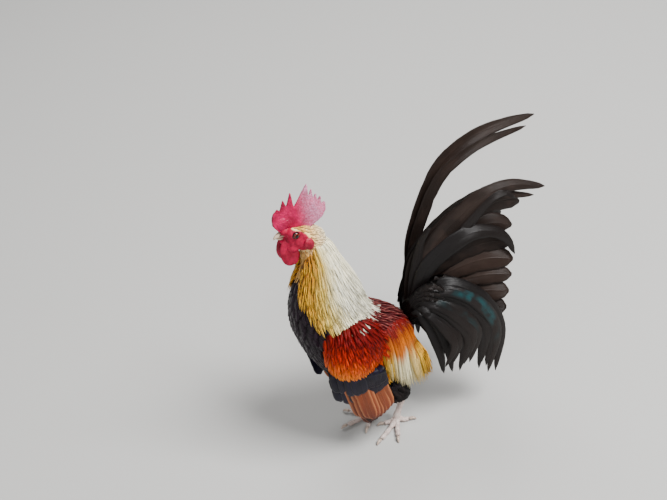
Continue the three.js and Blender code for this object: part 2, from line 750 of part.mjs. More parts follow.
// A toe leaves the ankle, dips to the floor and has a pad at each joint.
function toeSolid(foot, degrees, length, grow = 0) {
  const { ankle } = legPoints(foot);
  const turn = radians(degrees);
  const way = at(Math.sin(turn), Math.cos(turn), 0);
  const on = (d, z) => at(foot.side, foot.forward, z).addScaledVector(way, d);
  const path = [ankle.clone().setZ(4.6), on(4, 3.4), on(length * 0.45, 1.95), on(length, 1.75)];
  const pads = [2.9, 2.5, 2.3, 1.95, 2.35, 1.9, 2.2, 1.75];
  return { solid: limb(path, pads, { sides: 6, steps: 6, grow, flat: 0.95 }), end: on(length, 1.75), way };
}

function clawSolid(end, way) {
  const start = end.clone().addScaledVector(way, GAP);
  const mid = start.clone().addScaledVector(way, CLAW_LENGTH * 0.5);
  const tip = start.clone().addScaledVector(way, CLAW_LENGTH);
  mid.z += 0.5;
  tip.z = 0.5;
  return limb([start, mid, tip], [1.5, 1.25, 0.8, 0.25], { sides: 6, steps: 3 }).intersect(FLOOR);
}

function footPieces(side) {
  const foot = FEET[side];
  const sign = Math.sign(foot.side);
  const toes = foot.lengths.map((length, i) => toeSolid(foot, foot.toes[i], length));
  toes.push(toeSolid(foot, 180 - sign * HIND_TOE.turn, HIND_TOE.length));
  const { ankle } = legPoints(foot);
  const palm = egg(at(foot.side, foot.forward, 3.6), [3.9, 4.2, 3.7], { around: 10, rows: 6 });
  const joined = join([palm, ...toes.map((toe) => toe.solid)]).intersect(FLOOR);
  const shank = shankSolid(foot);
  const clear = halfSpace(at(0, foot.forward, ankle.z - 0.6), at(0, -0.25, -1));
  const clearShank = halfSpace(at(0, foot.forward, ankle.z - 0.6 + GAP), at(0, 0.25, 1));
  return {
    shank: largest(shank.intersect(clearShank)),
    pad: largest(joined.intersect(clear)),
    claws: toes.map((toe) => clawSolid(toe.end, toe.way)),
  };
}

function spurSolid(foot) {
  const { hock, ankle } = legPoints(foot);
  const inward = -Math.sign(foot.side);
  const root = ankle.clone().lerp(hock, 0.42).add(at(inward * 1.6, -2.6, 0));
  const tip = root.clone().add(at(inward * 1.2, -4.2, 1.6));
  return limb([root, tip], [1.5, 1.2, 0.3], { sides: 7, steps: 4 });
}

// Room for the shank at the thigh's end, and for the shank at the spur's root.
function shankCutter(foot) {
  const { hock, ankle } = legPoints(foot);
  return limb([hock.clone().add(at(0, -1, 4)), ankle], [4.6, 4.3, 3.6], { sides: 10, steps: 5 });
}

function spurCutter(foot) {
  const { hock, ankle } = legPoints(foot);
  return limb([hock, ankle], [4.3, 3.5, 3, 3, 3.5], { sides: 10, steps: 8, grow: 0.1 });
}

// Assembly.

const COLOURS = {
  black: [0x15131a, 0.45],
  cream: [0xf1dfae, 0.6],
  red: [0xc4223e, 0.55],
  wing: [0x8c2f16, 0.5],
  horn: [0xd9cdb2, 0.4],
  eye: [0x3a1208, 0.1],
  lobe: [0xe8c4cc, 0.55],
  leg: [0xc9bdb6, 0.5],
};
const materials = Object.fromEntries(
  Object.entries(COLOURS).map(([name, [color, roughness]]) => [
    name,
    new THREE.MeshStandardMaterial({ color, roughness, metalness: 0 }),
  ]),
);

const bird = new THREE.Group();

function place(name, solid, material) {
  const mesh = new THREE.Mesh(geometryOf(solid), materials[material]);
  mesh.name = name;
  bird.add(mesh);
}

place("torso", torso, "black");
place("neck", neck, "cream");
place("head", head, "red");
place("comb", comb, "red");
place("beak_upper", beakUpper, "horn");
place("beak_lower", beakLower, "horn");
place("wattle_left", wattleLeft, "red");
place("wattle_right", mirrored(wattleLeft), "red");
place("earlobe_left", earlobeLeft, "lobe");
place("earlobe_right", mirrored(earlobeLeft), "lobe");
place("eye_left", eyes.left, "eye");
place("eye_right", eyes.right, "eye");
place("wing_left", wingLeft, "wing");
place("wing_right", wingRight, "wing");
place("tail_fan_left", fanLeft, "black");
place("tail_fan_right", mirrored(fanLeft), "black");
place("tail_sickles_left", sicklesLeft, "black");
place("tail_sickles_right", sicklesRight, "black");

for (const side of ["left", "right"]) {
  const foot = FEET[side];
  const pieces = footPieces(side);
  const thigh = thighSolid(foot).subtract(bodyCutter).subtract(shankCutter(foot));
  place(`thigh_${side}`, largest(thigh), "black");
  place(`shank_${side}`, pieces.shank, "leg");
  place(`foot_${side}`, pieces.pad, "leg");
  place(`spur_${side}`, largest(spurSolid(foot).subtract(spurCutter(foot))), "horn");
  pieces.claws.forEach((claw, i) => place(`claw_${side}_${i + 1}`, claw, "horn"));
}

// The origin is under the middle of the whole bird's box, on the floor.
const box = new THREE.Box3().setFromObject(bird);
bird.position.set(-(box.min.x + box.max.x) / 2, -(box.min.y + box.max.y) / 2, -box.min.z);

export default bird;
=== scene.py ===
"""A serama cock standing at life size, as a museum model: its skin, feathers, comb, eyes, beak and legs."""
import logging
import math
from dataclasses import dataclass, field
from enum import Enum
from typing import Callable, Sequence

import bmesh
import bpy
import numpy as np
from mathutils import Matrix, Vector, noise
from mathutils.bvhtree import BVHTree


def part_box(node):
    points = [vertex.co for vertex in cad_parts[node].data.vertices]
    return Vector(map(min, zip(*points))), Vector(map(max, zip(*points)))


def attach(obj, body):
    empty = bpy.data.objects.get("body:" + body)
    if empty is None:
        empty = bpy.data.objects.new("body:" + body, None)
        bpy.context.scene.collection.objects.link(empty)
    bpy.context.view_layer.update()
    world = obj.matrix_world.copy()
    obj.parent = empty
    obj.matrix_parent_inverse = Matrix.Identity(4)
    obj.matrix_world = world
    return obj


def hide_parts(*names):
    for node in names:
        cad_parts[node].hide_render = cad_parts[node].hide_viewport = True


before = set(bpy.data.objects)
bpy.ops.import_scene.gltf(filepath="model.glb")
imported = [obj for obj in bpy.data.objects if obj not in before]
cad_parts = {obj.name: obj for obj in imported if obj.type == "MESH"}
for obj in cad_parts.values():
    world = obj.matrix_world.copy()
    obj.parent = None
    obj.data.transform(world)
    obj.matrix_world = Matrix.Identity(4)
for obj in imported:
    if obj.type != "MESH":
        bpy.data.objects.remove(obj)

LOG = logging.getLogger("serama")
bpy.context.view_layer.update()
MM = 0.001
BODY_NAME = "root"
EYE_FORWARD = 45.6
EYE_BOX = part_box("eye_left")
MIDDLE = (EYE_BOX[0][1] + EYE_BOX[1][1]) / 2 + EYE_FORWARD * MM

# The size of a feather's patch on the map for baking.
BAKE_PATCH = 0.003

Array = np.ndarray
Colour = tuple[float, float, float]


class Side(Enum):
    """The two sides of the bird, with the sign of X on each."""

    LEFT = 1
    RIGHT = -1

    @property
    def word(self) -> str:
        """The side's name as the solids' names end."""
        return self.name.lower()


def at(side: float, forward: float, height: float) -> Vector:
    """A place on the bird.

    Args:
        side: Distance to the bird's left, in mm.
        forward: Distance in front of the feet's middle, in mm.
        height: Height over the floor, in mm.

    Returns:
        The same place in the frame, in metres.
    """
    return Vector((side * MM, MIDDLE - forward * MM, height * MM))


def mix(a: float, b: float, t: float) -> float:
    """The value a share t of the way from a to b."""
    return a + (b - a) * t


def smooth(t: Array | float) -> Array | float:
    """A soft step from 0 to 1 as t goes from 0 to 1."""
    t = np.clip(t, 0.0, 1.0)
    return t * t * (3 - 2 * t)


class Table:
    """A table of rows, read smoothly between them at its first column."""

    def __init__(self, rows: Sequence[Sequence[float]], fineness: int = 24) -> None:
        """Args:
        rows: The table, its first column rising.
        fineness: Steps between two rows.
        """
        data = np.array(rows, float)
        slopes = np.gradient(data[:, 1:], data[:, 0], axis=0)
        slopes[1:-1] = (data[2:, 1:] - data[:-2, 1:]) / (data[2:, :1] - data[:-2, :1])
        keys, values = [data[:1, 0]], [data[:1, 1:]]
        for i in range(len(data) - 1):
            t = np.linspace(0, 1, fineness + 1)[1:, None]
            span = data[i + 1, 0] - data[i, 0]
            value = (2 * t**3 - 3 * t**2 + 1) * data[i, 1:] + (t**3 - 2 * t**2 + t) * span * slopes[i]
            value += (-2 * t**3 + 3 * t**2) * data[i + 1, 1:] + (t**3 - t**2) * span * slopes[i + 1]
            keys.append(data[i, 0] + t[:, 0] * span)
            values.append(value)
        self.keys = np.concatenate(keys)
        self.values = np.concatenate(values)

    def read(self, key: Array | float) -> list[Array]:
        """Args:
            key: Where to read, along the first column.

        Returns:
            One value, or array, for each other column.
        """
        return [np.interp(key, self.keys, column) for column in self.values.T]


def resample(points: Array, count: int) -> Array:
    """Smooth points at equal lengths along a path.

    Args:
        points: The path's points, one a row.
        count: How many to return.

    Returns:
        The new points.
    """
    points = np.asarray(points, float)
    ends = np.vstack([2 * points[0] - points[1], points, 2 * points[-1] - points[-2]])
    fine = []
    for i in range(1, len(ends) - 2):
        p0, p1, p2, p3 = ends[i - 1 : i + 3]
        t = np.linspace(0, 1, 13)[:-1, None]
        fine.append(0.5 * (2 * p1 + (p2 - p0) * t + (2 * p0 - 5 * p1 + 4 * p2 - p3) * t**2
                           + (3 * p1 - p0 - 3 * p2 + p3) * t**3))
    dense = np.vstack([*fine, points[-1:]])
    lengths = np.concatenate([[0], np.cumsum(np.linalg.norm(np.diff(dense, axis=0), axis=1))])
    wanted = np.linspace(0, lengths[-1], count)
    return np.stack([np.interp(wanted, lengths, dense[:, k]) for k in range(3)], axis=1)


# Making meshes.


def rise_of(vert: bmesh.types.BMVert) -> float:
    """How far up a unit sphere a vertex lies. Args: vert: The vertex. Returns: 0 at the bottom, 1 at the top."""
    return 0.5 + math.asin(max(-1.0, min(1.0, vert.co.z))) / math.pi


def ring_of(vert: bmesh.types.BMVert, opening: float) -> tuple[Vector, float]:
    """Where a vertex lies on its ring of a unit sphere.

    Args:
        vert: The vertex.
        opening: How fast the rings open from the poles.

    Returns:
        The way to it from the sphere's axis, and its ring's share of the full size.
    """
    ring = Vector((vert.co.x, vert.co.y))
    share = min(1.0, ring.length * opening)
    return (ring.normalized() if ring.length > 1e-6 else Vector((0.0, 0.0))), share


def new_verts(made: dict[str, list]) -> list[bmesh.types.BMVert]:
    """The vertices that an operator made. Args: made: What it returned. Returns: The vertices."""
    return [item for item in made["geom"] if isinstance(item, bmesh.types.BMVert)]


def new_object(name: str, mesh: bpy.types.Mesh, material: bpy.types.Material | None = None) -> bpy.types.Object:
    """Puts a mesh in the scene as an object at the origin.

    Args:
        name: The object's name.
        mesh: Its mesh.
        material: Its finish, if any.

    Returns:
        The object.
    """
    piece = bpy.data.objects.new(name, mesh)
    bpy.context.collection.objects.link(piece)
    if material:
        mesh.materials.clear()
        mesh.materials.append(material)
    return piece


def mesh_from(bm: bmesh.types.BMesh, name: str) -> bpy.types.Mesh:
    """A mesh from a bmesh, with its faces pointing out and shaded smooth.

    Args:
        bm: The shape, which is freed.
        name: The mesh's name.

    Returns:
        The mesh.
    """
    bmesh.ops.recalc_face_normals(bm, faces=bm.faces)
    for face in bm.faces:
        face.smooth = True
    mesh = bpy.data.meshes.new(name)
    bm.to_mesh(mesh)
    bm.free()
    return mesh


def settle(piece: bpy.types.Object, slot: str, *nodes: str) -> bpy.types.Object:
    """Fixes a finished piece to the bird and reports it.

    Args:
        piece: The piece.
        slot: The record's material slot; not used.
        nodes: The solids that it stands for.

    Returns:
        The piece.
    """
    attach(piece, BODY_NAME)
    if nodes:
        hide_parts(*nodes)
    piece.data.calc_loop_triangles()
    LOG.info("%s: %d triangles", piece.name, len(piece.data.loop_triangles))
    return piece


def add_limb(bm: bmesh.types.BMesh, path: Sequence[Vector], radii: Sequence[float], flat: float = 1.0,
             around: int = 20, along: int = 24) -> None:
    """Adds a round limb that follows a path, closed at both ends.

    Args:
        bm: The bmesh that it goes in.
        path: Places along its middle.
        radii: Its radius at equal steps, in mm.
        flat: Its height as a share of its width.
        around: Sides.
        along: Rings.
    """
    line = resample(np.array([tuple(p) for p in path]), 49)
    tangents = np.gradient(line, axis=0)
    tangents /= np.linalg.norm(tangents, axis=1)[:, None]
    widths = Table([(i / (len(radii) - 1), r * MM) for i, r in enumerate(radii)])
    made = bmesh.ops.create_uvsphere(bm, u_segments=around, v_segments=along, radius=1)["verts"]
    for vert in made:
        height = max(-1.0, min(1.0, vert.co.z))
        t = 0.5 - math.asin(height) / math.pi
        place = t * (len(line) - 1)
        i = min(int(place), len(line) - 2)
        centre = Vector(line[i]).lerp(Vector(line[i + 1]), place - i)
        tangent = Vector(tangents[i])
        across = Vector((-tangent.y, tangent.x, 0.0))
        across = across.normalized() if across.length > 0.05 else Vector((1, 0, 0))
        over = across.cross(tangent).normalized()
        ring = Vector((vert.co.x, vert.co.y))
        if ring.length > 1e-6:
            ring.normalize()
        radius = float(widths.read(t)[0]) * min(1.0, 3.2 * math.cos(math.asin(height)))
        vert.co = centre + across * (ring.x * radius) + over * (ring.y * radius * flat)


def add_ball(bm: bmesh.types.BMesh, centre: Vector, half: Sequence[float], tilt: float = 0.0,
             around: int = 28, along: int = 18) -> list[bmesh.types.BMVert]:
    """Adds an ellipsoid.

    Args:
        bm: The bmesh that it goes in.
        centre: Its centre.
        half: Its half sizes across, along and up, in mm.
        tilt: How far its front is raised, in degrees.
        around: Sides.
        along: Rings.

    Returns:
        Its vertices.
    """
    place = Matrix.Translation(centre) @ Matrix.Rotation(-math.radians(tilt), 4, "X")
    place = place @ Matrix.Diagonal((*[h * MM for h in half], 1))
    return bmesh.ops.create_uvsphere(bm, u_segments=around, v_segments=along, radius=1, matrix=place)["verts"]


def add_ring(bm: bmesh.types.BMesh, centre: Vector, radius: float, wire: float, stretch: float = 1.0) -> None:
    """Adds a ring that lies in the plane across X, as an eyelid does.

    Args:
        bm: The bmesh that it goes in.
        centre: Its centre.
        radius: Its radius, in mm.
        wire: The radius of its section, in mm.
        stretch: Its length along the bird as a share of its height.
    """
    place = Matrix.Translation((0, 0, radius * MM)) @ Matrix.Rotation(math.pi / 2, 4, "Z")
    place = place @ Matrix.Rotation(math.pi / 2, 4, "X")
    section = bmesh.ops.create_circle(bm, segments=10, radius=wire * MM, matrix=place)["verts"]
    edges = list({edge for vert in section for edge in vert.link_edges})
    before = set(bm.verts) - set(section)
    bmesh.ops.spin(bm, geom=section + edges, cent=(0, 0, 0), axis=(1, 0, 0), angle=2 * math.pi, steps=28,
                   use_merge=True)
    made = [vert for vert in bm.verts if vert not in before]
    bmesh.ops.scale(bm, verts=made, vec=(1, stretch, 1))
    bmesh.ops.translate(bm, verts=made, vec=centre)


def fused(bm: bmesh.types.BMesh, name: str, grain: float, softening: int) -> bpy.types.Mesh:
    """One even surface round all the shapes in a bmesh.

    Args:
        bm: The shapes, each closed. It is freed.
        name: The mesh's name.
        grain: The size of the surface's faces, in mm.
        softening: Rounds of smoothing.

    Returns:
        The mesh.
    """
    rough = bpy.data.objects.new(name, mesh_from(bm, name))
    bpy.context.collection.objects.link(rough)
    remesh = rough.modifiers.new("fuse", "REMESH")
    remesh.mode = "VOXEL"
    remesh.voxel_size = grain * MM
    remesh.use_smooth_shade = True
    graph = bpy.context.evaluated_depsgraph_get()
    mesh = bpy.data.meshes.new_from_object(rough.evaluated_get(graph))
    bpy.data.objects.remove(rough)
    soft = bmesh.new()
    soft.from_mesh(mesh)
    for _ in range(softening):
        bmesh.ops.smooth_vert(soft, verts=soft.verts, factor=0.5, use_axis_x=True, use_axis_y=True, use_axis_z=True)
    bmesh.ops.recalc_face_normals(soft, faces=soft.faces)
    soft.to_mesh(mesh)
    soft.free()
    mesh.name = name
    return mesh


# Finishes.


class Graph:
    """A material's nodes, with short calls for the ones used here."""

    def __init__(self, name: str) -> None:
        """Starts a material with one shader. Args: name: The material's name."""
        self.material = bpy.data.materials.new(name)
        self.material.use_nodes = True
        self.tree = self.material.node_tree
        self.tree.nodes.clear()
        output = self.tree.nodes.new("ShaderNodeOutputMaterial")
        self.shader = self.tree.nodes.new("ShaderNodeBsdfPrincipled")
        self.tree.links.new(self.shader.outputs[0], output.inputs[0])

    def node(self, kind: str, **settings: object) -> bpy.types.Node:
        """Adds a node. Args: kind: Its type. settings: Its own settings. Returns: The node."""
        made = self.tree.nodes.new(kind)
        for name, value in settings.items():
            setattr(made, name, value)
        return made

    def put(self, socket: bpy.types.NodeSocket, value: object) -> None:
        """Links a socket to another, or sets its value. Args: socket: The input. value: What goes in."""
        if isinstance(value, bpy.types.NodeSocket):
            self.tree.links.new(value, socket)
        elif isinstance(value, tuple) and len(value) == 3 and len(socket.default_value) == 4:
            socket.default_value = (*value, 1)
        else:
            socket.default_value = value

    def math(self, operation: str, *values: object, clamp: bool = False) -> bpy.types.NodeSocket:
        """A calculation. Args: operation: Its name. values: Its inputs. clamp: Keep to 0..1. Returns: Its output."""
        made = self.node("ShaderNodeMath", operation=operation, use_clamp=clamp)
        for socket, value in zip(made.inputs, values):
            self.put(socket, value)
        return made.outputs[0]

    def blend(self, share: object, a: object, b: object, kind: str = "MIX") -> bpy.types.NodeSocket:
        """Two colours blended. Args: share: How much of b. a: First. b: Second. kind: How. Returns: The colour."""
        made = self.node("ShaderNodeMix", data_type="RGBA", blend_type=kind)
        self.put(made.inputs["Factor"], share)
        self.put(made.inputs[6], a)
        self.put(made.inputs[7], b)
        return made.outputs[2]

    def ramp(self, share: object, stops: Sequence[tuple[float, Colour]]) -> bpy.types.NodeSocket:
        """A colour ramp. Args: share: Where along it. stops: Places and colours. Returns: The colour."""
        made = self.node("ShaderNodeValToRGB")
        elements = made.color_ramp.elements
        while len(elements) < len(stops):
            elements.new(0.5)
        for element, (place, colour) in zip(elements, stops):
            element.position = place
            element.color = (*colour, 1)
        self.put(made.inputs[0], share)
        return made.outputs[0]

    def step(self, value: object, low: float, high: float) -> bpy.types.NodeSocket:
        """A soft step. Args: value: What is compared. low: Where it starts. high: Where it ends. Returns: 0 to 1."""
        made = self.node("ShaderNodeMapRange", interpolation_type="SMOOTHSTEP")
        self.put(made.inputs[0], value)
        made.inputs[1].default_value = low
        made.inputs[2].default_value = high
        return made.outputs[0]

    def fall(self, value: object, low: float, high: float) -> bpy.types.NodeSocket:
        """A soft step down. Args: value: What is compared. low: Where it starts. high: Its end. Returns: 1 to 0."""
        return self.math("SUBTRACT", 1.0, self.step(value, low, high))

    def times(self, *values: object) -> bpy.types.NodeSocket:
        """A product. Args: values: Two or more. Returns: Its output."""
        product = values[0]
        for value in values[1:]:
            product = self.math("MULTIPLY", product, value)
        return product

    def noise(self, scale: float, detail: float = 3) -> bpy.types.NodeSocket:
        """Noise over the object. Args: scale: Its scale. detail: Its detail. Returns: Its value."""
        made = self.node("ShaderNodeTexNoise")
        made.inputs["Scale"].default_value = scale
        made.inputs["Detail"].default_value = detail
        self.put(made.inputs["Vector"], self.node("ShaderNodeTexCoord").outputs["Object"])
        return made.outputs[0]

    def cells(self, feature: str, scale: float) -> bpy.types.NodeSocket:
        """Cells over the object. Args: feature: What is measured. scale: Their scale. Returns: The distance."""
        made = self.node("ShaderNodeTexVoronoi", feature=feature)
        made.inputs["Scale"].default_value = scale
        self.put(made.inputs["Vector"], self.node("ShaderNodeTexCoord").outputs["Object"])
        return made.outputs["Distance"]

    def bump(self, height: object, distance: float, strength: float = 1.0, below: object = None) -> object:
        """Relief.

        Args:
            height: Its pattern.
            distance: Its depth, in metres.
            strength: How much of it shows.
            below: The relief that it lies on, if any.

        Returns:
            The normal.
        """
        made = self.node("ShaderNodeBump")
        made.inputs["Strength"].default_value = strength
        made.inputs["Distance"].default_value = distance
        self.put(made.inputs["Height"], height)
        if below is not None:
            self.put(made.inputs["Normal"], below)
        return made.outputs[0]

    def axes(self) -> tuple[bpy.types.NodeSocket, ...]:
        """The place on the object as X, Y and Z."""
        split = self.node("ShaderNodeSeparateXYZ")
        self.put(split.inputs[0], self.node("ShaderNodeTexCoord").outputs["Object"])
        return tuple(split.outputs[:3])

    def set(self, **values: object) -> None:
        """Sets the shader's inputs. Args: values: Names with _ for spaces, and what goes in."""
        for name, value in values.items():
            self.put(self.shader.inputs[name.replace("_", " ")], value)


def from_to(first: Colour, last: Colour) -> tuple[tuple[float, Colour], ...]:
    """A range of two colours. Args: first: At 0. last: At 1. Returns: Its stops."""
    return (0.0, first), (1.0, last)


@dataclass(frozen=True)
class Plumage:
    """The finish of one kind of feather, from its root to its tip and across its vane."""

    name: str
    root: tuple[tuple[float, Colour], ...]
    tip: tuple[tuple[float, Colour], ...]
    turn: tuple[float, float] = (0.25, 0.85)
    middle: Colour | None = None
    streak: Colour = (0.02, 0.012, 0.01)
    streak_width: float = 0.0
    streak_from: float = 0.15
    streak_to: float = 0.9
    streak_fade: float = 0.0
    edge: Colour | None = None
    # The next three fields paint a sheen into the base colour: a colour in noise patches, kept to some tones and the
    # vane's middle if asked, standing in for reflected light.
    gloss: Colour | None = None
    painted_sheen_share: float = 0.0
    painted_sheen_tone: tuple[float, float] | None = None
    roughness: float = 0.5
    sheen: float = 0.0
    shine: float = 0.4
    barbs: float = 90.0
    barb_slant: float = 0.35
    relief: float = 0.00012
    spread: float = 0.35

    def build(self) -> bpy.types.Material:
        """Returns: The material. It reads the vane's own map and two values that each feather carries."""
        g = Graph(self.name)
        vane = g.node("ShaderNodeSeparateXYZ")
        g.put(vane.inputs[0], g.node("ShaderNodeUVMap", uv_map="Vane").outputs[0])
        along = vane.outputs[1]
        off = g.math("ABSOLUTE", g.math("SUBTRACT", vane.outputs[0], 0.5))
        tone, chance = (g.node("ShaderNodeAttribute", attribute_name=name).outputs["Fac"]
                        for name in ("tone", "chance"))
        rows = g.math("SINE", g.times(g.math("SUBTRACT", along, g.times(off, self.barb_slant)), self.barbs))
        colour = g.blend(1.0, self.ground(g, along, tone, chance), self.shade(g, rows, chance), "MULTIPLY")
        if self.edge:
            colour = g.blend(g.times(g.step(off, 0.26, 0.48), 0.8), colour, self.edge)
        # Painted sheen: reflected light painted into the vane's colour.
        if self.gloss:
            colour = g.blend(self.painted_sheen_amount(g, along, off, tone), colour, self.gloss)
        if self.streak_width:
            colour = g.blend(self.shaft(g, along, off, tone), colour, self.streak)
        ridge = g.fall(off, 0.0, 0.06)
        height = g.math("ADD", g.times(rows, 0.5), g.times(ridge, 1.5))
        g.set(Base_Color=colour, Roughness=self.roughness, Normal=g.bump(height, self.relief, 0.6),
              Sheen_Weight=self.sheen, Sheen_Roughness=0.4, Specular_IOR_Level=self.shine)
        return g.material

    def ground(self, g: Graph, along: object, tone: object, chance: object) -> bpy.types.NodeSocket:
        """The ground colour, which turns from root to tip.

        Args:
            g: The material's nodes.
            along: The place from root to tip.
            tone: The feather's place in the finish's range.
            chance: Its drawn value.

        Returns:
            The colour.
        """
        place = g.math("ADD", along, g.times(g.math("SUBTRACT", chance, 0.5), 0.18))
        low, high = self.turn
        colour = g.ramp(tone, self.root)
        if self.middle:
            halfway = (low + high) / 2
            colour = g.blend(g.step(place, low, halfway), colour, self.middle)
            low = halfway
        return g.blend(g.step(place, low, high), colour, g.ramp(tone, self.tip))

    def shade(self, g: Graph, rows: object, chance: object) -> bpy.types.NodeSocket:
        """How light the feather is. Args: g: The nodes. rows: Its barbs. chance: Its draw. Returns: A grey."""
        light = g.math("ADD", 1 - self.spread / 2, g.times(chance, self.spread))
        level = g.math("ADD", light, g.times(rows, 0.06))
        grey = g.node("ShaderNodeCombineXYZ")
        for socket in grey.inputs:
            g.put(socket, level)
        return grey.outputs[0]

    def painted_sheen_amount(self, g: Graph, along: object, off: object, tone: object) -> bpy.types.NodeSocket:
        """Where the painted sheen lies on the vane, as a reflection painted into its colour.

        Args:
            g: The material's nodes.
            along: The place from root to tip.
            off: The distance from the shaft.
            tone: The feather's place in the finish's range.

        Returns:
            How strongly.
        """
        amount = g.times(g.step(g.noise(70.0, 2), 0.42, 0.62), g.fall(off, 0.1, 0.5), self.painted_sheen_share)
        if self.painted_sheen_tone:
            middle = g.times(g.step(along, 0.15, 0.35), g.fall(along, 0.55, 0.85))
            amount = g.times(amount, g.step(tone, *self.painted_sheen_tone), middle)
        return amount

    def shaft(self, g: Graph, along: object, off: object, tone: object) -> bpy.types.NodeSocket:
        """Where the dark streak along the shaft lies.

        Args:
            g: The material's nodes.
            along: The place from root to tip.
            off: The distance from the shaft.
            tone: The feather's place in the finish's range.

        Returns:
            How dark it is.
        """
        line = g.fall(off, self.streak_width * 0.45, self.streak_width)
        end = g.fall(along, self.streak_to - 0.25, self.streak_to)
        start = g.step(along, self.streak_from, self.streak_from + 0.2)
        depth = g.math("SUBTRACT", 0.92, g.times(tone, 0.92 * self.streak_fade))
        return g.times(line, end, start, depth)


@dataclass(frozen=True)
class Flesh:
    """Bare skin: red face, comb and wattles, with small papillae, and where set a pale painted glare on top and rear.
    """

    name: str
    deep: Colour
    pale: Colour
    grain: float = 900.0
    relief: float = 0.00025
    roughness: float = 0.42
    shine: float = 0.22
    # The next three fields set a pale lavender-pink on the top and rear: partly the comb's paler colour, partly a
    # painted highlight of glare.
    painted_glare_above: tuple[float, float] | None = None
    painted_glare_behind: tuple[float, float] = (MIDDLE - 0.041, MIDDLE - 0.024)
    glare: Colour = (0.86, 0.50, 0.72)

    def build(self) -> bpy.types.Material:
        """Returns: The material."""
        g = Graph(self.name)
        cells = g.cells("SMOOTH_F1", self.grain)
        colour = g.blend(g.step(g.noise(140.0, 4), 0.35, 0.68), self.deep, self.pale)
        colour = g.blend(g.times(g.step(cells, 0.15, 0.6), 0.35), colour, self.deep)
        # Painted glare: pale lavender-pink rising towards the top and rear, weaker between the papillae; partly paler
        # skin, partly painted highlight.
        if self.painted_glare_above:
            _, forward, height = g.axes()
            rise = g.times(g.step(height, *self.painted_glare_above), 0.35)
            back = g.step(forward, *self.painted_glare_behind)
            glare = g.math("MULTIPLY", g.math("ADD", rise, 0.4), back, clamp=True)
            ridges = g.math("ADD", g.times(g.step(cells, 0.2, 0.6), -0.5), 1.0)
            colour = g.blend(g.times(glare, ridges), colour, self.glare)
        wrinkles = g.bump(g.noise(420.0, 4), self.relief * 1.4, 0.5)
        g.set(Base_Color=colour, Roughness=self.roughness, Specular_IOR_Level=self.shine, Subsurface_Weight=0.12,
              Subsurface_Radius=(0.004, 0.0012, 0.0008), Subsurface_Scale=0.6,
              Normal=g.bump(cells, self.relief, 0.6, wrinkles))
        return g.material


@dataclass(frozen=True)
class BodySkin:
    """The skin under the feathers, in the colours of the feathers over it, with the bare red face."""

    name: str = "skin"
    face: Colour = (0.36, 0.0010, 0.034)
    face_deep: Colour = (0.12, 0.0004, 0.010)
    black: Colour = (0.006, 0.0045, 0.007)
    cream: Colour = (0.78, 0.55, 0.22)
    maroon: Colour = (0.10, 0.008, 0.008)
    red: Colour = (0.20, 0.012, 0.006)

    @staticmethod
    def bare(g: Graph, forward: object, height: object, wobble: object) -> bpy.types.NodeSocket:
        """Where the face is bare.

        Args:
            g: The material's nodes.
            forward: How far forward, in metres.
            height: How high, in metres.
            wobble: A small irregular length.

        Returns:
            1 on the bare skin, 0 elsewhere.
        """
        low, high = FACE_EDGE[0][0] * MM, FACE_EDGE[-1][0] * MM
        share = g.math("DIVIDE", g.math("SUBTRACT", height, low), high - low, clamp=True)
        stops = [((h * MM - low) / (high - low), (f / 100,) * 3) for h, f in FACE_EDGE]
        edge = g.times(g.ramp(share, stops), 0.1)
        return g.step(g.math("SUBTRACT", g.math("ADD", forward, g.times(wobble, 0.2)), edge), 0.0, 0.0015)

    def build(self) -> bpy.types.Material:
        """Returns: The material."""
        g = Graph(self.name)
        side, forward, height = g.axes()
        wobble = g.times(g.math("SUBTRACT", g.noise(160.0, 2), 0.5), 0.012)
        level = g.math("ADD", height, wobble)
        ahead = g.math("SUBTRACT", MIDDLE, forward)
        throat = g.math("ADD", ahead, g.times(height, 0.25))
        throat = g.times(g.step(throat, 0.0885, 0.0905), g.fall(level, 0.174, 0.18))
        neck = g.times(g.step(level, 0.150, 0.160), g.math("SUBTRACT", 1.0, throat))
        back = g.times(g.fall(ahead, -0.012, 0.004), g.step(level, 0.092, 0.104), g.math("SUBTRACT", 1.0, neck))
        bow = g.times(g.step(level, 0.084, 0.090), g.fall(level, 0.134, 0.142),
                      g.step(g.math("ABSOLUTE", side), 0.024, 0.029),
                      g.fall(ahead, 0.040, 0.044), g.step(ahead, -0.002, 0.002))
        red = g.blend(g.step(g.noise(240.0, 4), 0.25, 0.6), self.face_deep, self.face)
        colour = self.black
        for share, over in ((neck, self.cream), (back, self.maroon), (bow, self.red),
                            (self.bare(g, ahead, height, wobble), red)):
            colour = g.blend(share, colour, over)
        g.set(Base_Color=colour, Roughness=0.48, Specular_IOR_Level=0.2, Subsurface_Weight=0.08,
              Subsurface_Radius=(0.003, 0.001, 0.0006), Subsurface_Scale=0.5,
              Normal=g.bump(g.cells("SMOOTH_F1", 1100.0), 0.0003, 0.7))
        return g.material


@dataclass(frozen=True)
class Horn:
    """Beak, claws and spurs: translucent horn with fine growth lines."""

    name: str
    base: Colour
    tip: Colour
    low: float
    high: float
    axis: int = 1
    lines: Colour = (0.30, 0.22, 0.16)

    def build(self) -> bpy.types.Material:
        """Returns: The material, its colour turning between two places along one axis."""
        g = Graph(self.name)
        place = g.axes()[self.axis]
        lines = g.noise(900.0, 3)
        colour = g.blend(g.step(place, self.low, self.high), self.base, self.tip)
        colour = g.blend(g.times(g.step(lines, 0.4, 0.7), 0.25), colour, self.lines)
        g.set(Base_Color=colour, Roughness=0.34, Coat_Weight=0.25, Coat_Roughness=0.3,
              Normal=g.bump(lines, 0.0001, 0.5))
        return g.material


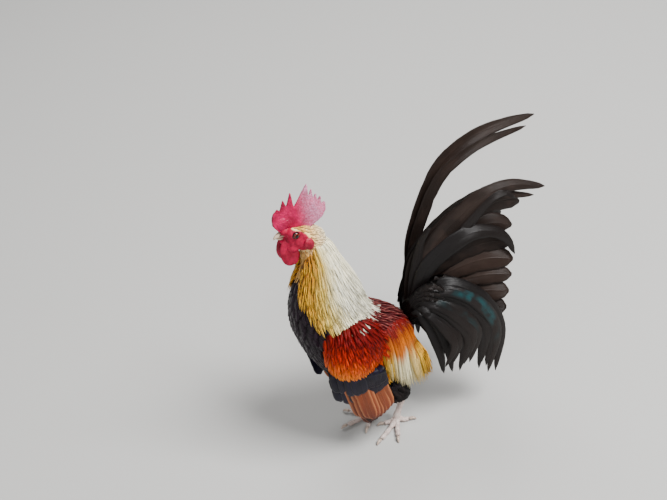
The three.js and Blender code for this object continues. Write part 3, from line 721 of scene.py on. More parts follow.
@dataclass(frozen=True)
class LegScales:
    """The pale scaly skin of shanks and toes."""

    name: str = "leg_scales"
    base: Colour = (0.60, 0.47, 0.42)
    light: Colour = (0.68, 0.58, 0.53)
    shade: Colour = (0.33, 0.24, 0.22)

    def build(self) -> bpy.types.Material:
        """Returns: The material."""
        g = Graph(self.name)
        cells = g.cells("DISTANCE_TO_EDGE", 620.0)
        colour = g.blend(g.step(g.noise(220.0, 4), 0.35, 0.7), self.base, self.light)
        colour = g.blend(g.times(g.fall(cells, 0.0, 0.12), 0.55), colour, self.shade)
        colour = g.blend(g.times(g.fall(g.axes()[2], 0.0, 0.004), 0.4), colour, self.shade)
        g.set(Base_Color=colour, Roughness=0.46, Normal=g.bump(g.step(cells, 0.0, 0.15), 0.0003, 0.7))
        return g.material


@dataclass(frozen=True)
class EyeGlass:
    """The eyeball: a black pupil in a red-brown iris under a clear wet surface."""

    name: str
    centre: Vector
    pupil: float = 1.45
    iris: float = 2.95
    rings: tuple[tuple[float, Colour], ...] = (
        (0.0, (0.05, 0.004, 0.002)), (0.42, (0.05, 0.004, 0.002)), (0.64, (0.13, 0.011, 0.003)),
        (0.84, (0.04, 0.003, 0.003)), (0.97, (0.008, 0.002, 0.002)))
    black: Colour = (0.004, 0.003, 0.004)

    def build(self) -> bpy.types.Material:
        """Returns: The material, ringed round the line across the bird through the eye."""
        g = Graph(self.name)
        _, forward, height = g.axes()
        along = g.math("SUBTRACT", forward, self.centre.y)
        up = g.math("SUBTRACT", height, self.centre.z)
        reach = g.math("SQRT", g.math("ADD", g.times(along, along), g.times(up, up)))
        share = g.math("DIVIDE", reach, self.iris * MM)
        rays = g.times(g.math("SUBTRACT", g.noise(2600.0, 2), 0.5), 0.12)
        colour = g.ramp(g.math("ADD", share, rays), self.rings)
        hole = g.fall(reach, (self.pupil - 0.12) * MM, (self.pupil + 0.08) * MM)
        colour = g.blend(hole, colour, self.black)
        g.set(Base_Color=colour, Roughness=0.16, Coat_Weight=0.3, Coat_Roughness=0.02, Specular_IOR_Level=0.2)
        return g.material


@dataclass(frozen=True)
class FloorPaint:
    """The pale studio floor."""

    name: str = "studio_floor"
    paint: Colour = (0.42, 0.415, 0.40)

    def build(self) -> bpy.types.Material:
        """Returns: The material."""
        g = Graph(self.name)
        g.set(Base_Color=self.paint, Roughness=0.8, Normal=g.bump(g.noise(40.0, 4), 0.0003, 0.3))
        return g.material


# The forms that the feathers lie on.


@dataclass(frozen=True)
class BodyForm:
    """The body from belly to neck, as levels: height, front, back, half width, in mm."""

    levels: tuple[tuple[float, ...], ...] = (
        (37, 5, -5, 5), (42, 17, -11, 16), (54, 28, -22, 26), (72, 37, -34, 33), (90, 47, -43, 36.5),
        (103, 53.5, -39, 38), (112, 56.5, -30, 37), (120, 58.5, -18.5, 35), (129, 60.5, -8.5, 32.5),
        (142, 60.5, -3.5, 28.5), (155, 58, 0.5, 24), (168, 53, 5, 19), (180, 46.5, 9.5, 15.5), (192, 43, 13.5, 12.5),
        (204, 43, 17, 11), (212, 43, 20, 9),
    )
    widest: float = 0.46
    fullness: tuple[float, float] = (2.25, 1.8)
    coat: float = 1.9

    def read(self, height: Array | float) -> tuple[Array, Array, Array, Array]:
        """Args: height: In mm. Returns: Front, back, half width and the widest place along, in mm."""
        front, back, half = LEVELS.read(height)
        return front, back, half, back + (front - back) * self.widest

    def side_of(self, forward: float, height: float) -> float:
        """Args: forward: In mm. height: In mm. Returns: How far the side stands out there, in mm."""
        front, back, half, middle = (float(v) for v in self.read(height))
        reach = front - middle if forward > middle else middle - back
        share = min(0.98, abs(forward - middle) / reach)
        fullness = self.fullness[0 if forward > middle else 1]
        return half * (1 - share**fullness) ** (1 / fullness)

    def add(self, bm: bmesh.types.BMesh) -> None:
        """Adds the body's shape, smaller than its levels by the coat. Args: bm: Where it goes."""
        low, high = self.levels[0][0] + self.coat, self.levels[-1][0]
        for vert in bmesh.ops.create_uvsphere(bm, u_segments=56, v_segments=56, radius=1)["verts"]:
            height = mix(low, high, rise_of(vert))
            front, back, half, middle = (float(v) for v in self.read(height))
            ring, closing = ring_of(vert, 5)
            fullness = self.fullness[0 if ring.y < 0 else 1]
            curve = [math.copysign(abs(v) ** (2 / fullness), v) for v in (ring.x, -ring.y)]
            reach = (front - middle if curve[1] > 0 else middle - back) - self.coat
            side = (half - self.coat) * curve[0] * closing
            vert.co = at(side, middle + reach * curve[1] * closing, height)


LEVELS = Table(BodyForm().levels)
# Where the bare face begins: forward place at each height, in mm.
FACE_EDGE = ((190, 60), (198, 46), (204, 37), (210.4, 34.2), (217.3, 36), (222.5, 40.5), (226, 47), (232, 60))


@dataclass(frozen=True)
class HeadForm:
    """The head along its own axis: share of the way, half height, half width, rise, in mm."""

    back: tuple[float, float] = (20, 204)
    front: tuple[float, float] = (55, 219)
    stations: tuple[tuple[float, ...], ...] = (
        (0, 5, 5, -1.5), (0.12, 8.2, 7.6, -1.4), (0.3, 10.2, 9.4, -0.8), (0.55, 10.6, 9.5, 0), (0.74, 9.2, 7.9, 0.3),
        (0.9, 7.2, 6.0, 0.6), (1, 5.6, 4.6, 0.6),
    )
    eye: tuple[float, float, float] = (8.2, 45.6, 220.8)

    def add(self, bm: bmesh.types.BMesh) -> None:
        """Adds the head with its brow, cheek and eyelids. Args: bm: Where it goes."""
        start, end = at(0, *self.back), at(0, *self.front)
        axis = end - start
        over = Vector((1, 0, 0)).cross(axis).normalized()
        over = over if over.z > 0 else -over
        table = Table(self.stations)
        for vert in bmesh.ops.create_uvsphere(bm, u_segments=40, v_segments=40, radius=1)["verts"]:
            share = rise_of(vert)
            tall, wide, rise = (float(v) * MM for v in table.read(share))
            ring, closing = ring_of(vert, 4)
            vert.co = start + axis * share + over * (rise + ring.y * tall * closing)
            vert.co.x += ring.x * wide * closing
        for sign in (1, -1):
            side, forward, height = self.eye
            add_ball(bm, at(sign * 6.2, forward + 0.3, height + 0.4), (3.4, 6.0, 5.0), 8)
            add_ball(bm, at(sign * 6.4, forward - 1, height - 7), (2.8, 6.8, 4.6), 16)
            add_ball(bm, at(sign * 6.4, forward - 8, height - 9), (3.4, 4.4, 5.6), -20)
            add_ball(bm, at(sign * 5.2, forward + 3, height - 12), (3.0, 5.4, 4.6), 10)
            add_ring(bm, at(sign * (side + 1.2), forward, height), 2.65, 0.8, 1.15)
            add_ball(bm, at(sign * 2.4, 51.5, 223.4), (2.6, 5, 3), -14)
        add_ball(bm, at(0, 51, 213.0), (4.6, 6, 3.6), 10)


@dataclass(frozen=True)
class WingForm:
    """A folded wing held upright at the side: where its arm lies, in mm."""

    shoulder: tuple[float, float, float] = (26.5, 21, 111)
    half: tuple[float, float, float] = (17.2, 22, 27)

    def add(self, bm: bmesh.types.BMesh) -> None:
        """Adds both arms. Args: bm: Where they go."""
        for side in Side:
            place, forward, height = self.shoulder
            add_ball(bm, at(side.value * place, forward, height), self.half, 10)


@dataclass(frozen=True)
class Leg:
    """One leg: where its foot stands, its toes' headings and lengths, and its hock, in mm and degrees."""

    side: Side
    place: tuple[float, float]
    toes: tuple[float, ...]
    lengths: tuple[float, ...]
    hock_forward: float
    hock_height: float = 31
    ankle_height: float = 6.5

    @property
    def hock(self) -> Vector:
        """The hock joint."""
        return at(self.place[0] + self.side.value * 2, self.hock_forward, self.hock_height)

    @property
    def ankle(self) -> Vector:
        """The joint over the foot."""
        return at(*self.place, self.ankle_height)

    def add_thigh(self, bm: bmesh.types.BMesh) -> None:
        """Adds the thigh and drumstick. Args: bm: Where they go."""
        sign = self.side.value
        path = [at(sign * 19, self.hock_forward + 22, 66), at(sign * 19, self.hock_forward + 12.5, 50), self.hock]
        add_limb(bm, path, [9.5, 13, 11.5, 7.2, 3.6])

    def toe_paths(self) -> list[tuple[list[Vector], Vector]]:
        """Returns: For each toe its places from the ankle to its end, and its heading."""
        paths = []
        headings = [*self.toes, 180 - self.side.value * 22]
        for degrees, length in zip(headings, [*self.lengths, 11]):
            turn = math.radians(degrees)
            way = Vector((math.sin(turn), -math.cos(turn), 0))
            root = at(*self.place, 0)

            def on(distance: float, height: float) -> Vector:
                """A place on this toe. Args: distance: From the ankle. height: Over the floor. Returns: It."""
                return root + way * (distance * MM) + Vector((0, 0, height * MM))

            paths.append(([on(0, 4.6), on(4, 3.5), on(length * 0.45, 2.05), on(length, 1.85)], way))
        return paths


LEGS = (
    Leg(Side.LEFT, (10, -14), (-14, 32, 66), (12, 27, 21), -23),
    Leg(Side.RIGHT, (-10, 1), (52, 4, -42), (18, 25, 21), -9),
)


class Skin:
    """The one skin over body, neck, head, wings' arms and thighs, and where feathers root in it."""

    grain = 0.95
    softening = 3
    draws = 9

    def __init__(self) -> None:
        """Builds the skin and its search tree."""
        bm = bmesh.new()
        self.form = BodyForm()
        self.form.add(bm)
        HeadForm().add(bm)
        WingForm().add(bm)
        for leg in LEGS:
            leg.add_thigh(bm)
        mesh = fused(bm, "skin", self.grain, self.softening)
        self.wrinkle(mesh)
        self.piece = new_object("skin", mesh, BodySkin().build())
        settle(self.piece, "comb_skin", "torso", "neck", "head", "thigh_left", "thigh_right")
        self.tree = BVHTree.FromPolygons([v.co.copy() for v in mesh.vertices],
                                         [tuple(p.vertices) for p in mesh.polygons])

    @staticmethod
    def wrinkle(mesh: bpy.types.Mesh) -> None:
        """Gives the bare face its folds. Args: mesh: The skin."""
        for vert in mesh.vertices:
            if vert.co.z > 0.2:
                fold = noise.noise(vert.co * 520) * 0.22 + noise.noise(vert.co * 1300) * 0.1
                vert.co += vert.normal * (fold * MM)

    def hit(self, origin: Vector, way: Vector) -> Vector | None:
        """Args: origin: Inside the skin. way: A direction. Returns: Where that line leaves the skin."""
        place, _, _, _ = self.tree.ray_cast(origin + way * 0.5, -way, 0.5)
        return place

    def roots(self, spacing: float, wanted: Callable[[Array, Array], Array], seed: int) -> tuple[Array, Array]:
        """Even, irregular places for roots.

        Args:
            spacing: Least distance between two, in mm.
            wanted: Says from places and normals which are kept.
            seed: For the draw.

        Returns:
            Their places and the skin's normals there.
        """
        places, facing = self.scatter(spacing * MM, seed)
        keep = wanted(places, facing)
        places, facing = places[keep], facing[keep]
        chosen = self.apart(places, spacing * MM)
        return places[chosen], facing[chosen]

    def scatter(self, spacing: float, seed: int) -> tuple[Array, Array]:
        """Places drawn evenly over the skin, several for each root.

        Args:
            spacing: Least distance between two roots, in metres.
            seed: For the draw.

        Returns:
            The places and the skin's normals there.
        """
        mesh = self.piece.data
        count = len(mesh.loop_triangles)
        corners = np.empty(count * 3, np.int32)
        mesh.loop_triangles.foreach_get("vertices", corners)
        points = np.empty(len(mesh.vertices) * 3)
        mesh.vertices.foreach_get("co", points)
        triangles = points.reshape(-1, 3)[corners.reshape(-1, 3)]
        normals = np.cross(triangles[:, 1] - triangles[:, 0], triangles[:, 2] - triangles[:, 0])
        areas = np.linalg.norm(normals, axis=1)
        rng = np.random.default_rng(seed)
        size = int(self.draws * areas.sum() / 2 / spacing**2)
        draw = rng.choice(count, size=size, p=areas / areas.sum())
        a, b = rng.random((2, len(draw), 1))
        flip = (a + b > 1)[:, 0]
        a[flip], b[flip] = 1 - a[flip], 1 - b[flip]
        places = triangles[draw, 0] * (1 - a - b) + triangles[draw, 1] * a + triangles[draw, 2] * b
        return places, normals[draw] / areas[draw][:, None]

    @staticmethod
    def apart(places: Array, spacing: float) -> list[int]:
        """Drops places that lie too near an earlier one.

        Args:
            places: The places.
            spacing: Least distance between two, in metres.

        Returns:
            The numbers of those that stay.
        """
        taken: dict[tuple[int, int, int], list[int]] = {}
        chosen = []
        near = [(i, j, k) for i in (-1, 0, 1) for j in (-1, 0, 1) for k in (-1, 0, 1)]
        for n, (x, y, z) in enumerate(np.floor(places / spacing).astype(int)):
            others = [m for i, j, k in near for m in taken.get((x + i, y + j, z + k), ())]
            if others and np.min(np.sum((places[others] - places[n]) ** 2, axis=1)) < spacing * spacing:
                continue
            taken.setdefault((x, y, z), []).append(n)
            chosen.append(n)
        return chosen


# Feathers.


class Shape(Enum):
    """How a feather's width changes from root to tip."""

    ROUND = "round"
    LANCE = "lance"
    BLADE = "blade"
    SWORD = "sword"

    def widths(self, t: Array) -> Array:
        """Args: t: Shares along the feather. Returns: Its width there, as a share of its widest."""
        t = np.clip(t, 0, 1)
        if self is Shape.ROUND:
            return np.minimum(0.3 + 1.7 * t, np.sqrt(np.clip(1.03 - np.clip((t - 0.5) / 0.5, 0, 1) ** 2, 0, 1)))
        if self is Shape.LANCE:
            return np.minimum(np.minimum(0.5 + 1.8 * t, 1.0), 0.05 + 1.55 * (1 - t) ** 0.85)
        if self is Shape.BLADE:
            return np.minimum(0.25 + 2.4 * t, np.sqrt(np.clip(1.02 - np.clip((t - 0.8) / 0.2, 0, 1) ** 2, 0, 1)))
        return np.minimum(np.minimum(0.45 + 2.2 * t, 1.0), 0.04 + np.sqrt(1.9 * (1 - t)))


class Vane:
    """One feather's faces, laid flat: X across from -1 to 1, Y along from 0 to 1, Z its thickness."""

    def __init__(self, rows: int, columns: int = 0) -> None:
        """Args:
        rows: Faces along.
        columns: Faces across each side of a fine vane, or 0 for a slim one with a ridge.
        """
        bm = bmesh.new()
        if columns:
            bmesh.ops.create_grid(bm, x_segments=columns, y_segments=rows, size=1)
            made = bmesh.ops.extrude_face_region(bm, geom=bm.faces[:])
            bmesh.ops.translate(bm, verts=bm.verts, vec=(0, 0, -1))
            bmesh.ops.translate(bm, verts=new_verts(made), vec=(0, 0, 2))
            bmesh.ops.scale(bm, verts=bm.verts, vec=(1, 0.5, 1))
            bmesh.ops.translate(bm, verts=bm.verts, vec=(0, 0.5, 0))
        else:
            turn = Matrix.Rotation(math.pi / 2, 4, "X")
            first = bmesh.ops.create_circle(bm, segments=4, radius=1, cap_ends=True, matrix=turn)["verts"]
            faces = list({f for v in first for f in v.link_faces})
            for row in range(rows):
                made = bmesh.ops.extrude_face_region(bm, geom=faces)
                if row:
                    bmesh.ops.delete(bm, geom=faces, context="FACES_ONLY")
                faces = [f for f in made["geom"] if isinstance(f, bmesh.types.BMFace)]
                bmesh.ops.translate(bm, verts=new_verts(made), vec=(0, 1 / rows, 0))
        bmesh.ops.recalc_face_normals(bm, faces=bm.faces)
        bm.verts.index_update()
        self.points = np.array([tuple(v.co) for v in bm.verts])
        self.faces = np.array([[v.index for v in f.verts] for f in bm.faces if len(f.verts) == 4])
        self.rows = rows
        self.station = np.rint(self.points[:, 1] * rows).astype(int)
        bm.free()


@dataclass
class Coat:
    """Feathers of one kind, gathered and then made as one piece."""

    name: str
    vane: Vane
    shape: Shape
    thickness: float = 0.22
    cup: float = 0.18
    paths: list[Array] = field(default_factory=list)
    outs: list[Array] = field(default_factory=list)
    widths: list[float] = field(default_factory=list)
    tones: list[float] = field(default_factory=list)
    chances: list[float] = field(default_factory=list)
    ragged: float = 0.0

    def add(self, path: Sequence[Vector] | Array, out: Sequence[Vector] | Array, width: float, tone: float,
            chance: float) -> None:
        """Adds a feather.

        Args:
            path: Places along it.
            out: The way its outer face looks, once or at each station.
            width: In mm.
            tone: Its place in the finish's range, 0 to 1.
            chance: A drawn value from 0 to 1.
        """
        stations = self.vane.rows + 1
        points = np.array([tuple(p) for p in path])
        facing = np.atleast_2d(np.array([tuple(v) for v in out]) if len(np.shape(out)) == 2 else np.array(tuple(out)))
        if len(facing) > 1:
            wanted = np.linspace(0, 1, stations)
            have = np.linspace(0, 1, len(facing))
            facing = np.stack([np.interp(wanted, have, facing[:, k]) for k in range(3)], axis=1)
        else:
            facing = np.repeat(facing, stations, axis=0)
        self.paths.append(resample(points, stations))
        self.outs.append(facing)
        self.widths.append(width * MM)
        self.tones.append(tone)
        self.chances.append(chance)

    def mirror(self, seed: int) -> None:
        """Adds each feather's mirror image, with its own chance. Args: seed: For the draw."""
        rng = np.random.default_rng(seed)
        turned = np.array([-1, 1, 1])
        self.paths += [p * turned for p in self.paths]
        self.outs += [o * turned for o in self.outs]
        self.widths += self.widths
        self.tones += self.tones
        self.chances += list(rng.random(len(self.chances)))

    def build(self, material: bpy.types.Material, atlas: bool = False) -> bpy.types.Object:
        """Makes the piece.

        Args:
            material: Its finish.
            atlas: Give each feather a strip of the map of its own, for few large feathers.

        Returns:
            The object.
        """
        count, size = len(self.paths), len(self.vane.points)
        faces = (self.vane.faces[None] + (np.arange(count) * size)[:, None, None]).reshape(-1, 4)
        mesh = bpy.data.meshes.new(self.name)
        mesh.from_pydata(self.places().reshape(-1, 3), [], faces.tolist())
        mesh.polygons.foreach_set("use_smooth", np.ones(len(faces), bool))
        flat = (self.vane.points[:, :2] + (1, 0)) / (2, 1)
        self.write_map(mesh, "Vane", np.tile(flat, (count, 1))[faces.ravel()])
        spots = self.strips(flat) if atlas else self.chart()[:, None] + (flat[None] - 0.5) * BAKE_PATCH
        self.write_map(mesh, "OFBake", spots.reshape(-1, 2)[faces.ravel()])
        for name, values in (("tone", self.tones), ("chance", self.chances)):
            layer = mesh.attributes.new(name, "FLOAT", "POINT")
            layer.data.foreach_set("value", np.repeat(np.array(values, float), size))
        mesh.update()
        return new_object(self.name, mesh, material)

    def places(self) -> Array:
        """Returns: Where each feather's vertices lie, bent along its path and cupped round its shaft."""
        paths, outs = np.array(self.paths), np.array(self.outs)
        along = np.gradient(paths, axis=1)
        along /= np.linalg.norm(along, axis=2, keepdims=True) + 1e-12
        outs = outs - along * np.sum(outs * along, axis=2, keepdims=True)
        outs /= np.linalg.norm(outs, axis=2, keepdims=True) + 1e-12
        across = np.cross(along, outs)
        x, y, z = self.vane.points.T
        station = self.vane.station
        half = np.array(self.widths)[:, None] / 2 * self.shape.widths(y)
        if self.ragged:
            chances = np.array(self.chances)[:, None]
            wave = np.sin(y * 61 + chances * 40) * np.sin(y * 23 + chances * 90 + np.sign(x))
            half = half * (1 - self.ragged * np.abs(x) ** 3 * np.clip(wave, 0, 1) ** 3)
        thin = self.thickness * MM / 2 * (1 - 0.75 * np.abs(x) ** 1.5) * (1 - 0.6 * y)
        rise = z * thin - self.cup * half * x**2
        return paths[:, station] + (half * x)[..., None] * across[:, station] + rise[..., None] * outs[:, station]

    @staticmethod
    def write_map(mesh: bpy.types.Mesh, name: str, places: Array) -> None:
        """Writes a map. Args: mesh: The mesh. name: The map's name. places: One a corner."""
        layer = mesh.uv_layers.new(name=name)
        layer.data.foreach_set("uv", places.astype(np.float32).ravel())

    def strips(self, flat: Array) -> Array:
        """Each feather's own strip of a map. Args: flat: The vane laid flat. Returns: Places on the map."""
        count = len(self.paths)
        rows = math.ceil(math.sqrt(count / 6)) or 1
        columns = math.ceil(count / rows)
        cell = np.stack([np.arange(count) % columns, np.arange(count) // columns], axis=1)
        return (cell[:, None] + 0.04 + 0.92 * flat[None]) / (columns, rows)

    def chart(self) -> Array:
        """Returns: Each root's place on the skin unrolled round its upright axis."""
        roots = np.array(self.paths)[:, 0]
        height = roots[:, 2] / MM
        front, back, _, _ = BodyForm().read(height)
        middle = MIDDLE - (front + back) / 2 * MM
        turn = np.arctan2(roots[:, 0], middle - roots[:, 1])
        return np.stack([0.02 + 0.96 * (turn / (2 * math.pi) + 0.5), 0.02 + 0.96 * height / 260], axis=1)


# How strongly feathers lie backwards and downwards at each height in mm.
LIE = Table(((30, 1.0, 0.05), (50, 1.0, 0.35), (70, 0.9, 0.7), (95, 0.6, 1.0), (125, 0.4, 1.0), (160, 0.2, 1.0),
             (195, 0.25, 1.0), (208, 0.8, 0.6), (220, 1.0, 0.2), (240, 1.0, 0.0)))


@dataclass
class Contour:
    """Short feathers that follow the skin, in one region."""

    name: str
    slot: str
    finish: Plumage
    spacing: float
    length: float
    width: float
    wanted: Callable[[Array, Array], Array]
    tone: Callable[[Array], Array]
    seed: int
    lift: float = 1.7
    shape: Shape = Shape.ROUND
    rows: int = 5
    downward: float = 0.0
    loose: float = 0.0
    nodes: tuple[str, ...] = ()

    def build(self, skin: Skin) -> bpy.types.Object:
        """Grows the feathers. Args: skin: What they root in. Returns: The piece."""
        places, facing = skin.roots(self.spacing, self.wanted, self.seed)
        rng = np.random.default_rng(self.seed + 1)
        coat = Coat(self.name, Vane(self.rows), self.shape)
        tones = self.tone(places)
        for place, normal, tone in zip(places, facing, tones):
            chance, sway, longer = rng.random(3)
            length = self.length * (0.86 + 0.28 * longer)
            path, outs = self.follow(skin, Vector(place), Vector(normal), length, (sway - 0.5) * 0.35)
            coat.add(path, outs, self.width * (0.9 + 0.2 * longer), float(tone), float(chance))
        return settle(coat.build(self.finish.build()), self.slot, *self.nodes)

    def follow(self, skin: Skin, place: Vector, normal: Vector, length: float,
               sway: float) -> tuple[list[Vector], list[Vector]]:
        """A feather's way over the skin.

        Args:
            skin: The skin.
            place: Its root.
            normal: The skin's normal there.
            length: In mm.
            sway: How far it strays sideways, as a share.

        Returns:
            Places along it, and the way that its face looks at each.
        """
        path, outs = [place - normal * (0.6 * MM)], [normal]
        step = length * MM / self.rows
        spot = place
        for i in range(1, self.rows + 1):
            back, down = (float(v) for v in LIE.read(spot.z / MM))
            way = Vector((0, back * (1 - self.downward), -down - self.downward * 2))
            way -= normal * way.dot(normal)
            way = way.normalized() if way.length > 1e-4 else Vector((0, 1, 0))
            way = (way + way.cross(normal) * sway).normalized()
            spot = spot + way * step
            found, out, _, _ = skin.tree.find_nearest(spot)
            share = i / self.rows
            if found is not None and out.dot(normal) > -0.2:
                spot = found
                normal = (normal * 0.4 + out * 0.6).normalized()
            path.append(spot + normal * ((0.25 + self.lift * share + self.loose * share**2) * MM))
            outs.append(normal)
        return path, outs


@dataclass(frozen=True)
class Hackle:
    """The cape of pointed neck feathers, from nape and throat to the shoulders and back."""

    rows: int = 21
    lowest: float = 148
    highest: float = 206
    spacing: float = 2.9
    width: float = 3.5
    finish: Plumage = Plumage(
        "hackle_plumage",
        root=((0.0, (0.48, 0.18, 0.008)), (0.4, (0.74, 0.43, 0.05)), (0.75, (0.92, 0.77, 0.38)),
              (1.0, (0.95, 0.87, 0.60))),
        tip=((0.0, (0.82, 0.44, 0.03)), (0.4, (0.93, 0.70, 0.16)), (0.75, (0.97, 0.89, 0.54)),
             (1.0, (0.98, 0.95, 0.76))),
        turn=(0.3, 0.95), streak=(0.024, 0.008, 0.003), streak_width=0.27, streak_from=0.05, streak_to=1.1,
        streak_fade=0.85, roughness=0.5, shine=0.15, spread=0.3, barbs=120)

    def tip(self, root: float, away: float) -> float:
        """Where a feather ends. Args: root: Its root's height. away: 0 in front, 1 behind. Returns: A height."""
        front, side, back = HACKLE_TIPS.read(root)
        if away < 0.55:
            return mix(float(front), float(side), float(smooth(away / 0.55)))
        return mix(float(side), float(back), (away - 0.55) / 0.45)

    def build(self, skin: Skin) -> bpy.types.Object:
        """Grows the cape. Args: skin: What it roots in. Returns: The piece."""
        rng = np.random.default_rng(11)
        coat = Coat("hackle", Vane(6), Shape.LANCE, cup=0.22)
        for row in range(self.rows):
            share = row / (self.rows - 1)
            root = mix(self.lowest, self.highest, share)
            front, back, half, _ = (float(v) for v in skin.form.read(root))
            around = math.pi * (half + (front - back) / 2)
            count = int(2 * around / (self.spacing * mix(1.0, 0.8, share)) / 2) * 2
            for k in range(count):
                self.feather(coat, skin, rng, root, 360 * (k + 0.5 * (row % 2)) / count, share)
        return settle(coat.build(self.finish.build()), "hackle_plumage")

    def feather(self, coat: Coat, skin: Skin, rng: np.random.Generator, root: float, turn: float,
                share: float) -> None:
        """Adds one feather.

        Args:
            coat: Where it goes.
            skin: What it roots in.
            rng: The draw.
            root: Its root's height, in mm.
            turn: Where round the neck, in degrees from the front.
            share: 0 in the lowest row, 1 in the highest.
        """
        chance, a, b, c = rng.random(4)
        away = min(turn, 360 - turn) / 180
        if away * 180 < float(HACKLE_OPENING.read(root)[0]) + 5 * (a - 0.5):
            return
        sign = -1 if turn > 180 else 1
        tip = self.tip(root, away) + 7 * (a - 0.5)
        start = root + 3.0 * (b - 0.5)
        stand = mix(1.6, 4.4, min(1.0, share / 0.6)) - max(0.0, share - 0.6) * 4 + 1.1 * (c - 0.5)
        path, outs = [], []
        for i in range(7):
            t = i / 6
            height = mix(start, tip, t)
            front, back, _, middle = (float(v) for v in skin.form.read(height))
            angle = math.radians(turn + sign * 5 * t + 5 * (a - 0.5))
            way = Vector((math.sin(angle), -math.cos(angle), 0))
            origin = at(0, middle, height)
            spot = skin.hit(origin, way)
            if spot is None:
                return
            off = -0.8 if i == 0 else stand * min(1.0, 0.55 + 0.8 * t)
            path.append(spot + way * (off * MM))
            outs.append(way + Vector((0, 0, 0.3)))
        tone = float(np.clip((away - 0.22) / 0.34 + 0.2 * (b - 0.5), 0, 1))
        coat.add(path, outs, self.width * mix(1.0, 0.7, share), tone, float(chance))


HACKLE_TIPS = Table(((148, 144, 128, 121), (154, 149, 129, 122), (167, 158, 141, 135), (180, 168, 155, 149),
                     (192, 181, 168, 163), (206, 194, 182, 178)))
# Half the angle in front that the hackle leaves open, in degrees, at each height.
HACKLE_OPENING = Table(((148, 44), (154, 40), (167, 26), (180, 13), (192, 10), (198, 30), (206, 74)))


@dataclass(frozen=True)
class Saddle:
    """Long pointed feathers that grow from the back and hang over the flanks."""

    rows: int = 13
    in_row: int = 25
    axis: float = 84
    width: float = 3.2
    finish: Plumage = Plumage(
        "saddle_plumage",
        root=from_to((0.12, 0.003, 0.004), (0.16, 0.006, 0.004)),
        tip=((0.0, (0.66, 0.25, 0.006)), (0.5, (0.88, 0.53, 0.05)), (1.0, (0.97, 0.88, 0.54))),
        turn=(0.16, 0.66), middle=(0.56, 0.13, 0.003), streak=(0.012, 0.003, 0.002), streak_width=0.34,
        streak_from=0.08, streak_to=1.1, streak_fade=0.62, roughness=0.5, shine=0.12, spread=0.3,
        barbs=130)
    tips: tuple[tuple[float, float], ...] = ((0, 88), (0.1, 77), (0.2, 70), (0.42, 58), (0.75, 56), (1, 67))
    least: float = 27

    def build(self, skin: Skin) -> bpy.types.Object:
        """Grows both sides. Args: skin: What they root in. Returns: The piece."""
        rng = np.random.default_rng(23)
        coat = Coat("saddle", Vane(8), Shape.LANCE, cup=0.2)
        for row in range(self.rows):
            for k in range(self.in_row):
                share = (k + 0.5 * (row % 2)) / (self.in_row - 0.5)
                self.feather(coat, skin, rng, row / (self.rows - 1), share)
        coat.mirror(24)
        return settle(coat.build(self.finish.build()), "hackle_plumage")

    def feather(self, coat: Coat, skin: Skin, rng: np.random.Generator, high: float, share: float) -> None:
        """Adds one feather.

        Args:
            coat: Where it goes.
            skin: What it roots in.
            rng: The draw.
            high: 0 in the lowest row, 1 in the row nearest the back's middle.
            share: 0 in front, 1 behind.
        """
        chance, a, b, c = rng.random(4)
        root = mix(1, mix(-39, -37, high), share) + 2 * (a - 0.5)
        spread = mix(1, -12, share) + 3 * (b - 0.5)
        lean = mix(mix(66, 30, share), mix(40, 3, share), high)
        tip = float(np.interp(share, *zip(*self.tips))) + mix(5, -3, high) + 6 * (c - 0.5)
        stand = mix(1.4, 5.6, high) + 0.8 * (a - 0.5)
        path, outs = [], []
        reach = 0.0
        for i in range(11):
            t = i / 10
            forward = root + spread * t
            off = -0.8 if i == 0 else stand * min(1.0, 0.2 + 1.6 * t)
            if t < 0.55:
                angle = math.radians(mix(lean, 88, t / 0.55))
                way = Vector((math.sin(angle), 0, math.cos(angle)))
                spot = skin.hit(at(0, forward, self.axis), way)
                if spot is None:
                    return
                place = spot + way * (off * MM)
                outs.append(way)
            else:
                drop = mix(self.axis + 2, tip, (t - 0.5) / 0.5)
                spot = skin.hit(at(0, forward, drop), Vector((1, 0, 0)))
                side = spot.x / MM + off if spot is not None else 0.0
                place = at(max(reach - 0.5, side, self.least + off), forward, drop)
                outs.append(Vector((1, 0, 0)))
            reach = max(reach - 0.5, place.x / MM)
            path.append(place)
        tone = 1.15 - 2.0 * abs(share - 0.42) + 0.35 * (b - 0.5)
        coat.add(path, outs, self.width, float(np.clip(tone, 0, 1)), float(chance))


@dataclass(frozen=True)
class Tier:
    """One tier of wing feathers: count, root and tip places front to back, stand-off and width, in mm."""

    name: str
    count: int
    root: tuple[float, float, float, float]
    tip: tuple[float, float, float, float]
    off: float
    width: float
    bulge: float
    finish: Plumage


# The bar's gloss is a blue sheen painted in noise patches: a painted reflection on the black.
BAR = Plumage(
    "wing_bar_plumage", root=from_to((0.003, 0.0025, 0.005), (0.003, 0.0025, 0.005)),
    tip=from_to((0.004, 0.0035, 0.011), (0.006, 0.0035, 0.009)), gloss=(0.011, 0.008, 0.028), painted_sheen_share=0.6,
    roughness=0.36, shine=0.14, barbs=150)
BAY = Plumage(
    "wing_bay_plumage", root=from_to((0.17, 0.032, 0.007), (0.20, 0.042, 0.009)),
    tip=from_to((0.09, 0.012, 0.004), (0.20, 0.036, 0.009)), edge=(0.38, 0.13, 0.045), turn=(0.5, 0.98),
    roughness=0.46, shine=0.25, barbs=220, spread=0.4, relief=0.0002)
PRIMARY = Plumage(
    "wing_primary_plumage", root=from_to((0.03, 0.006, 0.004), (0.05, 0.010, 0.005)),
    tip=from_to((0.018, 0.004, 0.003), (0.035, 0.007, 0.004)), edge=(0.15, 0.032, 0.010), roughness=0.48,
    shine=0.2, barbs=220, relief=0.0002)


